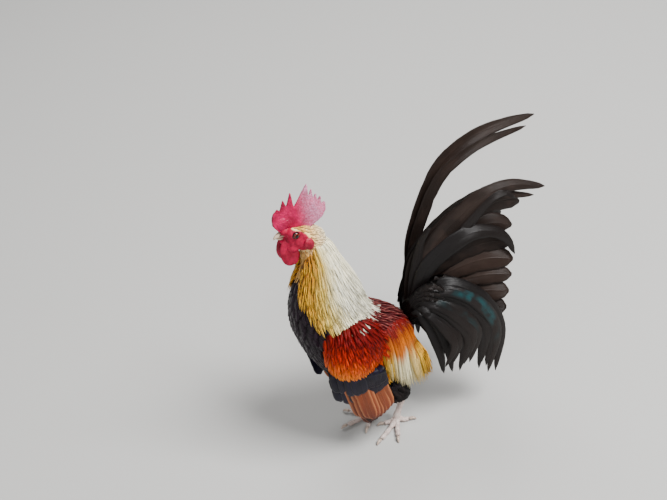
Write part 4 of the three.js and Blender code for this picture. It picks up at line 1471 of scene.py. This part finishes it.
@dataclass(frozen=True)
class Wing:
    """A folded wing: primaries and secondaries under the coverts of the wing bar."""

    side: Side
    tiers: tuple[Tier, ...] = (
        Tier("primaries", 8, (34, 18, 92, 88), (19, 7, 30.5, 36), 1.6, 8.5, 0, PRIMARY),
        Tier("secondaries", 9, (36, 9, 94, 90), (25, -1, 41, 43), 3.4, 9.5, -6, BAY),
        Tier("bar_coverts", 8, (42, 8, 96, 91), (37, 4, 57, 69), 5.4, 10.5, -2, BAR),
        Tier("upper_bar_coverts", 9, (43, 8, 101, 95), (39, 6, 70, 77), 6.6, 9.5, -2, BAR),
    )

    def build(self, skin: Skin) -> None:
        """Makes each tier. Args: skin: What it roots in."""
        rng = np.random.default_rng(31 + self.side.value)
        for index, tier in enumerate(self.tiers):
            coat = Coat(f"wing_{self.side.word}_{tier.name}", Vane(16, 6), Shape.BLADE, cup=0.1, ragged=0.12)
            for k in range(tier.count):
                self.feather(coat, skin, tier, k / (tier.count - 1), rng)
            piece = coat.build(tier.finish.build(), atlas=True)
            nodes = (f"wing_{self.side.word}",) if index == 0 else ()
            settle(piece, "wing_plumage", *nodes)

    def feather(self, coat: Coat, skin: Skin, tier: Tier, share: float, rng: np.random.Generator) -> None:
        """Adds one feather.

        Args:
            coat: Where it goes.
            skin: What it roots in.
            tier: Its tier.
            share: 0 in front, 1 behind.
            rng: The draw.
        """
        chance, wobble = rng.random(2)
        tip_height = mix(tier.tip[2], tier.tip[3], share) + tier.bulge * math.sin(math.pi * share)
        tip_height += 2 * (wobble - 0.5)
        path = []
        reach = 0.0
        for i in range(7):
            t = i / 6
            forward = mix(mix(tier.root[0], tier.root[1], share), mix(tier.tip[0], tier.tip[1], share), t)
            height = mix(mix(tier.root[2], tier.root[3], share), tip_height, t)
            spot = skin.hit(at(0, forward, height), Vector((1, 0, 0)))
            flank = spot.x / MM if spot is not None else skin.form.side_of(forward, height)
            body = skin.form.side_of(forward, height) + tier.off + 0.6
            off = -0.5 if i == 0 else 0.5 + 0.28 * tier.off + 0.9 * (chance - 0.5)
            reach = max(reach - 1.2 * t, flank + off, body if i else 0.0)
            path.append(at(reach, forward, height))
        out = Vector((1, -0.22, 0.05))
        if self.side is Side.RIGHT:
            path = [Vector((-p.x, p.y, p.z)) for p in path]
            out.x = -1
        coat.add(path, tuple(out), tier.width, share, float(chance))


# Each side's main sickle, its places forward and up in mm, and how far its face leans up at the tip.
SICKLES = {
    Side.LEFT: (((-50, 128), (-58, 150), (-71, 168), (-93, 184), (-115, 195), (-141, 196), (-172, 184)), 0.35),
    Side.RIGHT: (((-51, 141), (-58, 170), (-70, 197), (-88, 224), (-114, 238), (-142, 242), (-178, 240)), -0.25),
}


@dataclass(frozen=True)
class Tail:
    """The high tail: a fan of broad feathers, two long sickles, curved hangers and small coverts."""

    fan_tips: tuple[tuple[float, float, float], ...] = (
        (29, -112, 80), (26, -124, 97), (22, -130, 115), (17, -134, 133), (12, -139, 152), (7, -148, 175))
    fan_count: int = 8
    hangers: int = 11
    coverts: int = 30
    # Black-brown finish; its gloss is a warm brown sheen painted in noise patches, a painted highlight.
    finish: Plumage = Plumage(
        "tail_plumage", root=from_to((0.005, 0.0032, 0.0026), (0.008, 0.005, 0.004)),
        tip=from_to((0.008, 0.0045, 0.0035), (0.016, 0.009, 0.0065)), gloss=(0.028, 0.017, 0.013),
        painted_sheen_share=0.4, roughness=0.36, shine=0.14, barbs=420, relief=0.00022, spread=0.7)
    # Covert finish: black, with a teal sheen painted in patches on the inner feathers' middles, a painted reflection
    # of iridescence.
    painted_sheen_coverts: Plumage = Plumage(
        "tail_covert_plumage", root=from_to((0.004, 0.003, 0.003), (0.005, 0.004, 0.004)),
        tip=from_to((0.006, 0.004, 0.0035), (0.009, 0.006, 0.005)), gloss=(0.006, 0.075, 0.085),
        painted_sheen_share=0.8, painted_sheen_tone=(0.74, 0.92), roughness=0.36, shine=0.18, barbs=300,
        relief=0.00016, spread=0.6)
    # The lesser sickles that arch behind the saddle: width, then places across, forward and up, in mm.
    arches: tuple[tuple[float, tuple[tuple[float, float, float], ...]], ...] = (
        (11, ((7, -42, 116), (9, -62, 147), (11, -91, 170), (12, -118, 190), (13, -134, 193), (14, -143, 184))),
        (15, ((8, -42, 113), (12, -60, 150), (15, -93, 168), (16, -117, 164), (18, -130, 152), (20, -135, 136))),
        (9, ((6, -42, 118), (7, -50, 148), (8, -57, 172), (9, -66, 184))),
        (10, ((12, -40, 110), (20, -48, 114), (25, -56, 100), (30, -61, 72), (31, -62, 50))),
        (10, ((12, -38, 108), (18, -44, 111), (24, -50, 96), (28, -54, 72), (29, -55, 50))),
        (9, ((11, -40, 112), (17, -56, 122), (24, -76, 116), (28, -88, 92), (31, -94, 66))),
    )

    def build(self) -> None:
        """Makes the fan, the sickles, the hangers and the coverts on both sides."""
        plain, painted_sheen_finish = self.finish.build(), self.painted_sheen_coverts.build()
        table = Table([(i / (len(self.fan_tips) - 1), *tip) for i, tip in enumerate(self.fan_tips)])
        for side in Side:
            rng = np.random.default_rng(41 + side.value)
            fan = Coat(f"tail_fan_{side.word}", Vane(26, 8), Shape.BLADE, cup=0.1, ragged=0.16, thickness=0.35)
            for k in range(self.fan_count):
                share = k / (self.fan_count - 1)
                tip = [float(v) for v in table.read(share)]
                path = self.turned(self.fan_path(share, tip, rng.random(2)), side)
                out = (side.value, 0, mix(0.55, 0.12, share))
                fan.add(path, out, 17 + 4 * rng.random(), float(rng.random()), float(rng.random()))
            settle(fan.build(plain, atlas=True), "black_plumage", f"tail_fan_{side.word}")
            self.sickles(side, rng, plain)
            self.hanging(side, rng, painted_sheen_finish)
            self.small_coverts(side, rng, painted_sheen_finish)

    @staticmethod
    def turned(path: Sequence[Vector], side: Side) -> list[Vector]:
        """A left feather's places, mirrored if need be. Args: path: Its places. side: The side. Returns: Places."""
        return [Vector((p.x * side.value, p.y, p.z)) for p in path]

    @staticmethod
    def fan_path(share: float, tip: Sequence[float], chance: Array) -> list[Vector]:
        """A fan feather's places. Args: share: 0 lowest, 1 highest. tip: Its tip. chance: Drawn. Returns: Them."""
        root = mix(101, 113, share)
        rise = mix(2, 34, share**1.2)
        side, forward, height = tip
        return [
            at(mix(4.6, 2.6, share), -40, root),
            at(mix(6, 3.6, share), mix(-62, -53, share), mix(root, height, 0.3) + 0.55 * rise),
            at(mix(14, 5, share), mix(-84, -84, share), mix(root, height, 0.62) + 0.72 * rise),
            at(mix(23, 6.5, share), mix(-100, -121, share), mix(root, height, 0.88) + 0.5 * rise),
            at(side + 1.5 * (chance[0] - 0.5), forward + 5 * (chance[1] - 0.5), height),
        ]

    def sickles(self, side: Side, rng: np.random.Generator, finish: bpy.types.Material) -> None:
        """Makes one side's main sickle and its shorter neighbour.

        Args:
            side: The side.
            rng: The draw.
            finish: The black finish.
        """
        coat = Coat(f"tail_sickle_{side.word}", Vane(34, 8), Shape.SWORD, cup=0.16, ragged=0.14, thickness=0.4)
        track, lean = SICKLES[side]
        for number, (scale, drop) in enumerate(((1.0, 0.0), (0.93, 10.0))):
            path = [at(7.5 - 2 * number, -40, 112)]
            for i, (forward, height) in enumerate(track):
                along = -40 + (forward + 40) * scale
                path.append(at(8.2 + 0.4 * i - 2.4 * number, along, height - drop * math.sin(math.pi * (i + 1) / 9)))
            outs = [(side.value, -0.15, lean * i / 7) for i in range(8)]
            coat.add(self.turned(path, side), outs, 17 - 5 * number, 0.8, float(rng.random()))
        settle(coat.build(finish, atlas=True), "black_plumage")

    def hanging(self, side: Side, rng: np.random.Generator, finish: bpy.types.Material) -> None:
        """Makes one side's curved hangers and lesser sickles.

        Args:
            side: The side.
            rng: The draw.
            finish: The black finish with a painted teal sheen.
        """
        coat = Coat(f"tail_hangers_{side.word}", Vane(24, 6), Shape.SWORD, cup=0.16, ragged=0.1, thickness=0.3)
        for k in range(self.hangers):
            share = k / (self.hangers - 1)
            wave, deep = rng.random(2)
            inner = 2.4 * (deep - 0.5)
            short = 15 * wave * (0.15 < share)
            path = [
                at(9, -40, mix(113, 104, share)),
                at(mix(14, 17, share) + inner, mix(-53, -48, share), mix(127, 112, share)),
                at(mix(22, 25, share) + inner, mix(-74, -55, share), mix(131, 106, share)),
                at(mix(29, 32, share) + inner, mix(-97, -62, share), mix(111, 91, share)),
                at(mix(33, 36, share) + inner, mix(-110, -64, share), mix(77, 74, share) + 0.6 * short),
                at(mix(34, 37, share), mix(-103, -58, share) + 6 * deep, mix(35, 55, share) + short),
            ]
            outs = [(side.value, -0.1, mix(0.9, 0.1, i / 5)) for i in range(6)]
            coat.add(self.turned(path, side), outs, mix(13.5, 9.5, share), float(wave), float(deep))
        for width, places in self.arches[0 if side is Side.LEFT else 3 :]:
            wave, deep = rng.random(2)
            path = [at(*place) for place in places]
            outs = [(side.value, -0.1, mix(0.35, 0.75, i / 5)) for i in range(6)]
            coat.add(self.turned(path, side), outs, width, 0.3 * float(wave), float(deep))
        settle(coat.build(finish, atlas=True), "black_plumage", f"tail_sickles_{side.word}")

    def small_coverts(self, side: Side, rng: np.random.Generator, finish: bpy.types.Material) -> None:
        """Makes one side's coverts, in rings round the tail's root.

        Args:
            side: The side.
            rng: The draw.
            finish: The black finish with a painted teal sheen.
        """
        small = Coat(f"tail_coverts_{side.word}", Vane(8), Shape.ROUND, cup=0.2, thickness=0.3)
        for k in range(self.coverts):
            share, ring = (k % 10) / 9, k // 10
            a, b = rng.random(2)
            reach = mix(1.0, 0.62, ring / 2)
            path = [
                at(4 + 2.4 * ring, -36 - ring, mix(116, 97, share)),
                at(8 + 2.5 * ring, -38 - 13 * reach, mix(127, 99, share) + 2 * (a - 0.5)),
                at(13 + 3 * ring, -38 - mix(30, 24, share) * reach, mix(134, 90, share) + 3 * (b - 0.5)),
                at(16 + 3.5 * ring, -38 - mix(46, 32, share) * reach, mix(128, 78, share) + 4 * (a - 0.5)),
            ]
            small.add(self.turned(path, side), (side.value, 0.1, 0.4), 8, 0.5 * float(a), float(b))
        settle(small.build(finish), "black_plumage")


# Head furniture.


@dataclass(frozen=True)
class Comb:
    """The upright comb, in mm. Each point is a dip and a tip, both as forward and up."""

    points: tuple[tuple[float, float, float, float], ...] = (
        (58, 239.2, 54.2, 242.6), (52.3, 240.6, 48.6, 248.8), (46.8, 242.2, 41.9, 253), (40.9, 239.4, 27.4, 255),
        (27.6, 243.2, 24.6, 249.6), (24.1, 240.8, 21.6, 244.8), (21.5, 237.8, 18.6, 241.4),
        (18.9, 234.6, 15.8, 235.4))
    front: tuple[tuple[float, float], ...] = ((50, 220), (56.5, 224.4), (59.6, 229), (59.5, 234.5))
    rear: tuple[tuple[float, float], ...] = ((16.2, 230), (19, 225.4), (24, 222.4), (34, 218))
    tip: float = 0.35
    crown_thickness: float = 5.4
    point_thickness: float = 1.5

    def outline(self) -> list[tuple[float, float]]:
        """Returns: The blade's outline, forward and up, in mm. Each point leans back from the dip before it."""
        line = [*self.front]
        for dip_forward, dip, tip_forward, tip in self.points:
            line += [(dip_forward, dip), (tip_forward + self.tip, tip - self.tip), (tip_forward - self.tip, tip)]
        return [*line, *self.rear]

    def build(self) -> bpy.types.Object:
        """Returns: The comb, thick and pebbled at its base."""
        bm = bmesh.new()
        verts = [bm.verts.new(at(0, forward, height)) for forward, height in self.outline()]
        edges = [bm.edges.new((a, b)) for a, b in zip(verts, verts[1:] + verts[:1])]
        bmesh.ops.triangle_fill(bm, edges=edges, use_beauty=True)
        made = bmesh.ops.extrude_face_region(bm, geom=bm.faces[:])
        bmesh.ops.translate(bm, verts=new_verts(made), vec=(self.point_thickness * MM, 0, 0))
        bmesh.ops.translate(bm, verts=bm.verts, vec=(-self.point_thickness * MM / 2, 0, 0))
        add_ball(bm, at(0, 51, 229.5), (1.3, 7.5, 7), 30)
        mesh = fused(bm, "comb", 0.32, 1)
        for vert in mesh.vertices:
            height = vert.co.z / MM
            swell = mix(self.crown_thickness, self.point_thickness, float(smooth((height - 222) / 24)))
            vert.co.x *= swell / self.point_thickness
            vert.co.x += math.sin((MIDDLE - vert.co.y) / MM * 0.16) * max(0.0, height - 226) * 0.04 * MM
            pebble = noise.noise(vert.co * 620) * 0.3 + noise.noise(vert.co * 1500) * 0.3
            vert.co += vert.normal * (pebble * MM)
        mesh.update()
        # The comb's flesh carries the pale painted glare on its top and rear, partly its own paler colour.
        finish = Flesh("comb_flesh", (0.22, 0.0004, 0.026), (0.46, 0.0015, 0.070), relief=0.0004,
                       painted_glare_above=(0.236, 0.262))
        return settle(new_object("comb", mesh, finish.build()), "comb_skin", "comb")


@dataclass(frozen=True)
class Wattle:
    """One of the two red lobes under the beak, in mm."""

    side: Side
    place: tuple[float, float] = (4.6, 51.8)
    top: float = 217
    bottom: float = 193.4
    half: float = 8.1
    depth: float = 2.2

    def build(self) -> bpy.types.Object:
        """Returns: The wattle, thin and folded, broad below."""
        bm = bmesh.new()
        verts = bmesh.ops.create_uvsphere(bm, u_segments=48, v_segments=36, radius=1)["verts"]
        for vert in verts:
            x, y, z = vert.co
            hang = 0.94 - 0.08 * z
            fold = 0.4 * math.sin(3.2 * y + 1.2 * z) + 0.16 * math.sin(9 * y + 2.5 * z)
            side = x * self.depth + fold - 1.2 * z + self.place[0]
            vert.co = at(self.side.value * side, self.place[1] - y * self.half * hang,
                         (self.top + self.bottom) / 2 + z * (self.top - self.bottom) / 2)
        mesh = mesh_from(bm, f"wattle_{self.side.word}")
        for vert in mesh.vertices:
            vert.co += vert.normal * (noise.noise(vert.co * 800) * 0.2 * MM)
        finish = Flesh("wattle_flesh", (0.18, 0.0004, 0.014), (0.36, 0.0010, 0.036))
        name = f"wattle_{self.side.word}"
        return settle(new_object(name, mesh, finish.build()), "comb_skin", name)


@dataclass(frozen=True)
class Earlobe:
    """The red lobe under one ear, in mm."""

    side: Side
    half: tuple[float, float, float] = (2.2, 4.2, 5.4)

    def build(self) -> bpy.types.Object:
        """Returns: The earlobe."""
        bm = bmesh.new()
        verts = add_ball(bm, at(self.side.value * 9.4, 36.6, 209.6), self.half, -12)
        for vert in verts:
            vert.co.x += self.side.value * noise.noise(vert.co * 420) * 0.5 * MM
        finish = Flesh("earlobe_flesh", (0.18, 0.001, 0.014), (0.40, 0.014, 0.050), relief=0.0003)
        name = f"earlobe_{self.side.word}"
        return settle(new_object(name, mesh_from(bm, name), finish.build()), "earlobe_skin", name)


@dataclass(frozen=True)
class Beak:
    """The short curved beak, its upper half overhanging the lower, in mm."""

    mouth: float = 218.6

    def build(self) -> list[bpy.types.Object]:
        """Returns: The upper and the lower half."""
        finish = Horn("beak_horn", (0.22, 0.10, 0.07), (0.56, 0.42, 0.30), MIDDLE - 0.0535, MIDDLE - 0.0585)
        material = finish.build()
        upper = bmesh.new()
        add_limb(upper, [at(0, 49, 219.4), at(0, 54.5, 220.4), at(0, 59, 219.6), at(0, 61.6, 217.4)],
                 [3.8, 3.2, 2.5, 1.6, 0.4], 0.95, 28, 30)
        floor = at(0, 0, self.mouth + 0.12)
        bmesh.ops.bisect_plane(upper, geom=[*upper.verts, *upper.edges, *upper.faces], plane_co=floor,
                               plane_no=(0, 0.12, -1), clear_outer=True)
        bmesh.ops.holes_fill(upper, edges=upper.edges, sides=0)
        lower = bmesh.new()
        add_limb(lower, [at(0, 49, 217.2), at(0, 55, 216.9), at(0, 59.2, 217.4)], [2.5, 2.2, 1.5, 0.3], 0.7, 28, 24)
        bmesh.ops.bisect_plane(lower, geom=[*lower.verts, *lower.edges, *lower.faces],
                               plane_co=at(0, 0, self.mouth - 0.1), plane_no=(0, 0.12, 1), clear_outer=True)
        bmesh.ops.holes_fill(lower, edges=lower.edges, sides=0)
        pieces = []
        for name, bm in (("beak_upper", upper), ("beak_lower", lower)):
            piece = new_object(name, mesh_from(bm, name), material)
            pieces.append(settle(piece, "horn", name))
        # Painted shade: dark ovals on the beak stand in for the shadowed openings of the nostrils.
        holes = bmesh.new()
        for side in Side:
            add_ball(holes, at(side.value * 2.2, 55.8, 220.9), (0.7, 1.1, 0.4), -16, 16, 10)
        nostril_shade = Horn("nostril_painted_shade", (0.05, 0.02, 0.015), (0.06, 0.025, 0.02), MIDDLE - 0.050, MIDDLE - 0.058)
        pieces.append(settle(new_object("nostrils", mesh_from(holes, "nostrils"), nostril_shade.build()), "horn"))
        return pieces


@dataclass(frozen=True)
class Eye:
    """One eyeball, in mm."""

    side: Side
    radius: float = 3.3

    def build(self) -> bpy.types.Object:
        """Returns: The eye."""
        name = f"eye_{self.side.word}"
        low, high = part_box(name)
        centre = Vector([(a + b) / 2 for a, b in zip(low, high)])
        bm = bmesh.new()
        bmesh.ops.create_uvsphere(bm, u_segments=40, v_segments=28, radius=self.radius * MM,
                                  matrix=Matrix.Translation(centre))
        finish = EyeGlass(f"eye_glass_{self.side.word}", centre)
        return settle(new_object(name, mesh_from(bm, name), finish.build()), "eye", name)


# Legs.


@dataclass(frozen=True)
class Foot:
    """A shank and foot with its scutes, claws and spur, in mm."""

    leg: Leg
    claw: float = 6.5
    shank_radii: tuple[float, ...] = (3.4, 3.9, 3.1, 2.6, 2.7, 3.3, 3.2)
    toe_radii: tuple[float, ...] = (2.8, 2.5, 2.25, 1.95, 2.3, 1.95, 2.2, 1.8)
    scute_radii: tuple[float, ...] = (3.9, 3.6, 3.0, 2.7, 2.75, 3.1)
    scute_lifts: tuple[float, ...] = (1.75, 2.05, 2.2)
    shank_scutes: int = 13
    toe_scutes: int = 9

    def build(self, scales: bpy.types.Material, horn: bpy.types.Material) -> None:
        """Makes the pieces. Args: scales: The leg's finish. horn: The claws' finish."""
        word = self.leg.side.word
        bm = bmesh.new()
        away = (self.leg.ankle - self.leg.hock).normalized()
        add_limb(bm, [self.leg.hock - away * 0.003, self.leg.ankle, at(*self.leg.place, 4)], self.shank_radii)
        add_ball(bm, at(*self.leg.place, 3.7), (3.8, 4.1, 3.6))
        for path, _ in self.leg.toe_paths():
            add_limb(bm, path, self.toe_radii, 0.95, 16, 30)
        mesh = fused(bm, f"foot_{word}", 0.5, 2)
        for vert in mesh.vertices:
            vert.co.z = max(vert.co.z, 0.0)
        piece = new_object(f"foot_{word}", mesh, scales)
        settle(piece, "leg_scales", f"foot_{word}", f"shank_{word}")
        self.scutes(scales, away)
        self.horns(horn)

    def scutes(self, finish: bpy.types.Material, away: Vector) -> None:
        """Makes the overlapping plates. Args: finish: Their finish. away: The way down the shank."""
        word = self.leg.side.word
        coat = Coat(f"scutes_{word}", Vane(3), Shape.BLADE, thickness=0.5, cup=0.62)
        span = (self.leg.ankle - self.leg.hock).length
        front = Vector((0, -1, 0)) - away * Vector((0, -1, 0)).dot(away)
        front.normalize()
        radii = Table([(i / 5, radius) for i, radius in enumerate(self.scute_radii)])
        for k in range(self.shank_scutes):
            t = 0.04 + 0.9 * k / (self.shank_scutes - 1)
            radius = float(radii.read(t)[0])
            root = self.leg.hock + away * (span * t)
            path = [root + away * (down * MM) + front * ((radius + lift) * MM)
                    for down, lift in ((0, -0.35), (1.2, 0.05), (2.5, 0.28))]
            coat.add(path, tuple(front), radius * 1.75, 0.5, 0.5)
        for path, _ in self.leg.toe_paths():
            line = resample(np.array([tuple(p) for p in path]), 60)
            for start in range(12, 12 + 5 * self.toe_scutes, 5):
                spots = [Vector(line[start + 3 * j]) + Vector((0, 0, lift * MM))
                         for j, lift in enumerate(self.scute_lifts)]
                coat.add(spots, (0, 0, 1), 3.5, 0.5, 0.5)
        settle(coat.build(finish), "leg_scales")

    def horns(self, finish: bpy.types.Material) -> None:
        """Makes claws and spur. Args: finish: Their finish."""
        word = self.leg.side.word
        for number, (path, way) in enumerate(self.leg.toe_paths(), 1):
            bm = bmesh.new()
            start = path[-1] - way * 0.0004
            middle = start + way * (self.claw * 0.55 * MM) + Vector((0, 0, 0.0007))
            tip = start + way * ((self.claw + 0.3) * MM)
            tip.z = 0.00045
            add_limb(bm, [start, middle, tip], [1.5, 1.45, 1.05, 0.3], 1.0, 14, 16)
            piece = new_object(f"claw_{word}_{number}", mesh_from(bm, "claw"), finish)
            settle(piece, "horn", f"claw_{word}_{number}")
        bm = bmesh.new()
        inward = -self.leg.side.value
        root = self.leg.ankle.lerp(self.leg.hock, 0.42) + Vector((inward * 1.4, 2.2, 0)) * MM
        bend, tip = Vector((inward * 0.7, 2.4, 0.7)), Vector((inward * 1.2, 4.4, 1.9))
        add_limb(bm, [root, root + bend * MM, root + tip * MM], [1.6, 1.35, 0.9, 0.25], 1.0, 14, 12)
        settle(new_object(f"spur_{word}", mesh_from(bm, "spur"), finish), "horn", f"spur_{word}")


# The regions of short feathers.


def forward_of(places: Array) -> Array:
    """How far forward places lie. Args: places: Places. Returns: Distances in mm."""
    return (MIDDLE - places[:, 1]) / MM


def is_face(places: Array) -> Array:
    """Which places are on the bare face. Args: places: Places. Returns: True there."""
    heights, edges = np.array(FACE_EDGE).T
    return forward_of(places) > np.interp(places[:, 2] / MM, heights, edges)


# The breast's gloss is a purple sheen painted in noise patches: a painted reflection on the black.
BREAST = Plumage(
    "breast_plumage", root=from_to((0.003, 0.0022, 0.003), (0.004, 0.0025, 0.0035)),
    tip=from_to((0.004, 0.003, 0.0045), (0.009, 0.0045, 0.008)), gloss=(0.020, 0.008, 0.018), painted_sheen_share=0.4,
    roughness=0.42, shine=0.12, barbs=70)
FLUFF = Plumage(
    "fluff_plumage", root=from_to((0.006, 0.005, 0.005), (0.008, 0.006, 0.006)),
    tip=from_to((0.007, 0.005, 0.005), (0.014, 0.010, 0.009)), roughness=0.75, shine=0.1, barbs=60)
MAROON = Plumage(
    "back_plumage", root=from_to((0.035, 0.002, 0.003), (0.045, 0.003, 0.003)),
    tip=from_to((0.05, 0.001, 0.003), (0.09, 0.002, 0.004)), streak=(0.46, 0.15, 0.12), streak_width=0.08,
    streak_from=0.6, streak_to=1.1, roughness=0.55, shine=0.15, barbs=80)
BOW = Plumage(
    "bow_plumage", root=((0.0, (0.08, 0.0015, 0.001)), (0.5, (0.34, 0.014, 0.001)), (1.0, (0.70, 0.09, 0.002))),
    tip=((0.0, (0.13, 0.002, 0.0015)), (0.3, (0.36, 0.014, 0.001)), (0.55, (0.74, 0.11, 0.002)),
         (0.85, (0.92, 0.25, 0.005)), (1.0, (0.97, 0.46, 0.03))),
    turn=(0.2, 0.85), roughness=0.5, shine=0.12, barbs=80, spread=0.3, relief=0.00004)
CROWN = Plumage(
    "crown_plumage", root=from_to((0.50, 0.22, 0.04), (0.90, 0.74, 0.42)),
    tip=from_to((0.74, 0.40, 0.08), (0.95, 0.88, 0.64)), roughness=0.5, sheen=0.1, barbs=50)


def bow_zone(p: Array, n: Array) -> Array:
    """Where the wing's bow lies. Args: p: Places. n: Normals, not used. Returns: True there."""
    f, h = forward_of(p), p[:, 2] / MM
    return (f > 1) & (f < 46) & (h > 83 + 0.55 * (f - 3)) & (h < 140) & (np.abs(p[:, 0]) > 0.026)


def back_zone(p: Array, n: Array) -> Array:
    """Where the back lies. Args: p: Places. n: Normals. Returns: True there."""
    f, h = forward_of(p), p[:, 2] / MM
    return (f < 16) & (h > 96) & (h < 160) & (n[:, 2] > 0.12) & (f > -48) & ~bow_zone(p, n)


def breast_zone(p: Array, n: Array) -> Array:
    """Where breast, throat and flanks lie. Args: p: Places. n: Normals. Returns: True there."""
    f, h = forward_of(p), p[:, 2] / MM
    low = (h < 62) & ((f < -6) | (np.abs(p[:, 0]) > 0.024))
    throat = (h > 153) & (f + 0.25 * h > 84) & (h < 178)
    return ((h < 153) | throat) & ~back_zone(p, n) & ~low & ((f > -22) | (h > 86)) & (f > -40)


def fluff_zone(p: Array, n: Array) -> Array:
    """Where vent and thighs lie. Args: p: Places. n: Normals. Returns: True there."""
    return (p[:, 2] < 0.13) & ~back_zone(p, n) & ~breast_zone(p, n)


def crown_zone(p: Array, n: Array) -> Array:
    """Where the small feathers of crown and throat lie. Args: p: Places. n: Normals. Returns: True there."""
    return (p[:, 2] > 0.198 - 0.022 * (forward_of(p) > 40)) & ~is_face(p) & (n[:, 2] > -0.6)


def bow_tone(p: Array) -> Array:
    """From red above to orange below. Args: p: Places. Returns: 0 to 1."""
    return np.clip((0.134 - p[:, 2] + 0.35 * (MIDDLE - 0.02 - p[:, 1])) / 0.042, 0, 1)


def contours() -> list[Contour]:
    """Returns: The short feathers of each region."""
    return [
        Contour("breast_feathers", "black_plumage", BREAST, 3.6, 16, 8.2, breast_zone,
                lambda p: np.clip(p[:, 2] / 0.14, 0, 1), 101, lift=1.4),
        Contour("vent_fluff", "black_plumage", FLUFF, 2.9, 12, 5.0, fluff_zone,
                lambda p: np.clip(1 - p[:, 2] / 0.1, 0, 1), 103, loose=1.6, downward=0.35),
        Contour("back_feathers", "black_plumage", MAROON, 3.0, 17, 4.6, back_zone,
                lambda p: np.clip(np.abs(p[:, 0]) / 0.03, 0, 1), 105, shape=Shape.LANCE, lift=2.2),
        Contour("wing_bow", "wing_plumage", BOW, 1.85, 17, 4.6, bow_zone, bow_tone, 107, shape=Shape.LANCE,
                lift=4.0, downward=0.5),
        Contour("crown_feathers", "hackle_plumage", CROWN, 1.5, 6.5, 2.0, crown_zone,
                lambda p: np.clip((p[:, 1] - MIDDLE + 0.04) / 0.02, 0, 1), 109, lift=0.6, rows=4),
    ]


# Studio.


@dataclass(frozen=True)
class Lamp:
    """A soft square lamp that faces the bird: its place and side in metres, and its power in watts."""

    name: str
    place: tuple[float, float, float]
    size: float
    power: float

    def build(self) -> None:
        """Hangs the lamp."""
        data = bpy.data.lights.new(self.name, "AREA")
        data.size = self.size
        data.energy = self.power
        lamp = bpy.data.objects.new(self.name, data)
        lamp.location = self.place
        lamp.rotation_euler = (Vector((0, 0, 0.1)) - Vector(self.place)).to_track_quat("-Z", "Y").to_euler()
        bpy.context.collection.objects.link(lamp)


@dataclass(frozen=True)
class Studio:
    """The floor, the lights and the camera at the photograph's angle."""

    eye_side: float = 732.8
    eye_forward: float = 266.7
    eye_height: float = 712.25
    pitch: float = 34.0
    roll: float = 9.4
    heading: float = 71.03
    lens: float = 64.23
    sky: Colour = (0.96, 0.97, 1.0)
    sky_strength: float = 0.25
    lamps: tuple[Lamp, ...] = (
        Lamp("key", (1.0, 0.75, 2.0), 1.0, 130),
        Lamp("fill", (1.3, -1.3, 1.1), 2.0, 22),
        Lamp("rim", (-1.2, 0.4, 1.6), 1.2, 26),
    )

    def build(self) -> None:
        """Makes everything round the bird."""
        bm = bmesh.new()
        bmesh.ops.create_grid(bm, x_segments=2, y_segments=2, size=6, matrix=Matrix.Translation((0, 0, -0.0002)))
        floor = new_object("studio_floor", mesh_from(bm, "studio_floor"), FloorPaint().build())
        for lamp in self.lamps:
            lamp.build()
        world = bpy.data.worlds.new("studio")
        world.use_nodes = True
        background = world.node_tree.nodes["Background"]
        background.inputs[0].default_value = (*self.sky, 1)
        background.inputs[1].default_value = self.sky_strength
        bpy.context.scene.world = world
        self.camera()

    def camera(self) -> None:
        """Sets the camera up by its height, heading, pitch and roll."""
        data = bpy.data.cameras.new("camera")
        data.lens = self.lens
        data.sensor_width = 36
        data.clip_end = 50
        eye = bpy.data.objects.new("camera", data)
        turn, dip = math.radians(self.heading), math.radians(self.pitch)
        look = Vector((-math.sin(turn) * math.cos(dip), math.cos(turn) * math.cos(dip), -math.sin(dip)))
        level = look.cross(Vector((0, 0, 1))).normalized()
        upright = level.cross(look)
        roll = math.radians(self.roll)
        up = upright * math.cos(roll) + level * math.sin(roll)
        right = look.cross(up)
        place = at(self.eye_side, self.eye_forward, self.eye_height)
        eye.matrix_world = Matrix((
            (right.x, up.x, -look.x, place.x), (right.y, up.y, -look.y, place.y),
            (right.z, up.z, -look.z, place.z), (0, 0, 0, 1)))
        bpy.context.collection.objects.link(eye)
        bpy.context.scene.camera = eye


def main() -> None:
    """Builds the bird and the studio, in order."""
    logging.basicConfig(level=logging.INFO, format="%(name)s: %(message)s")
    Studio().build()
    skin = Skin()
    for region in contours():
        region.build(skin)
    Hackle().build(skin)
    Saddle().build(skin)
    for side in Side:
        Wing(side).build(skin)
    Tail().build()
    Comb().build()
    Beak().build()
    for side in Side:
        Wattle(side).build()
        Earlobe(side).build()
        Eye(side).build()
    scales = LegScales().build()
    horn = Horn("claw_horn", (0.36, 0.27, 0.22), (0.52, 0.42, 0.34), 0.0, 0.01, 2).build()
    for leg in LEGS:
        Foot(leg).build(scales, horn)


if __name__ == "__main__":
    main()
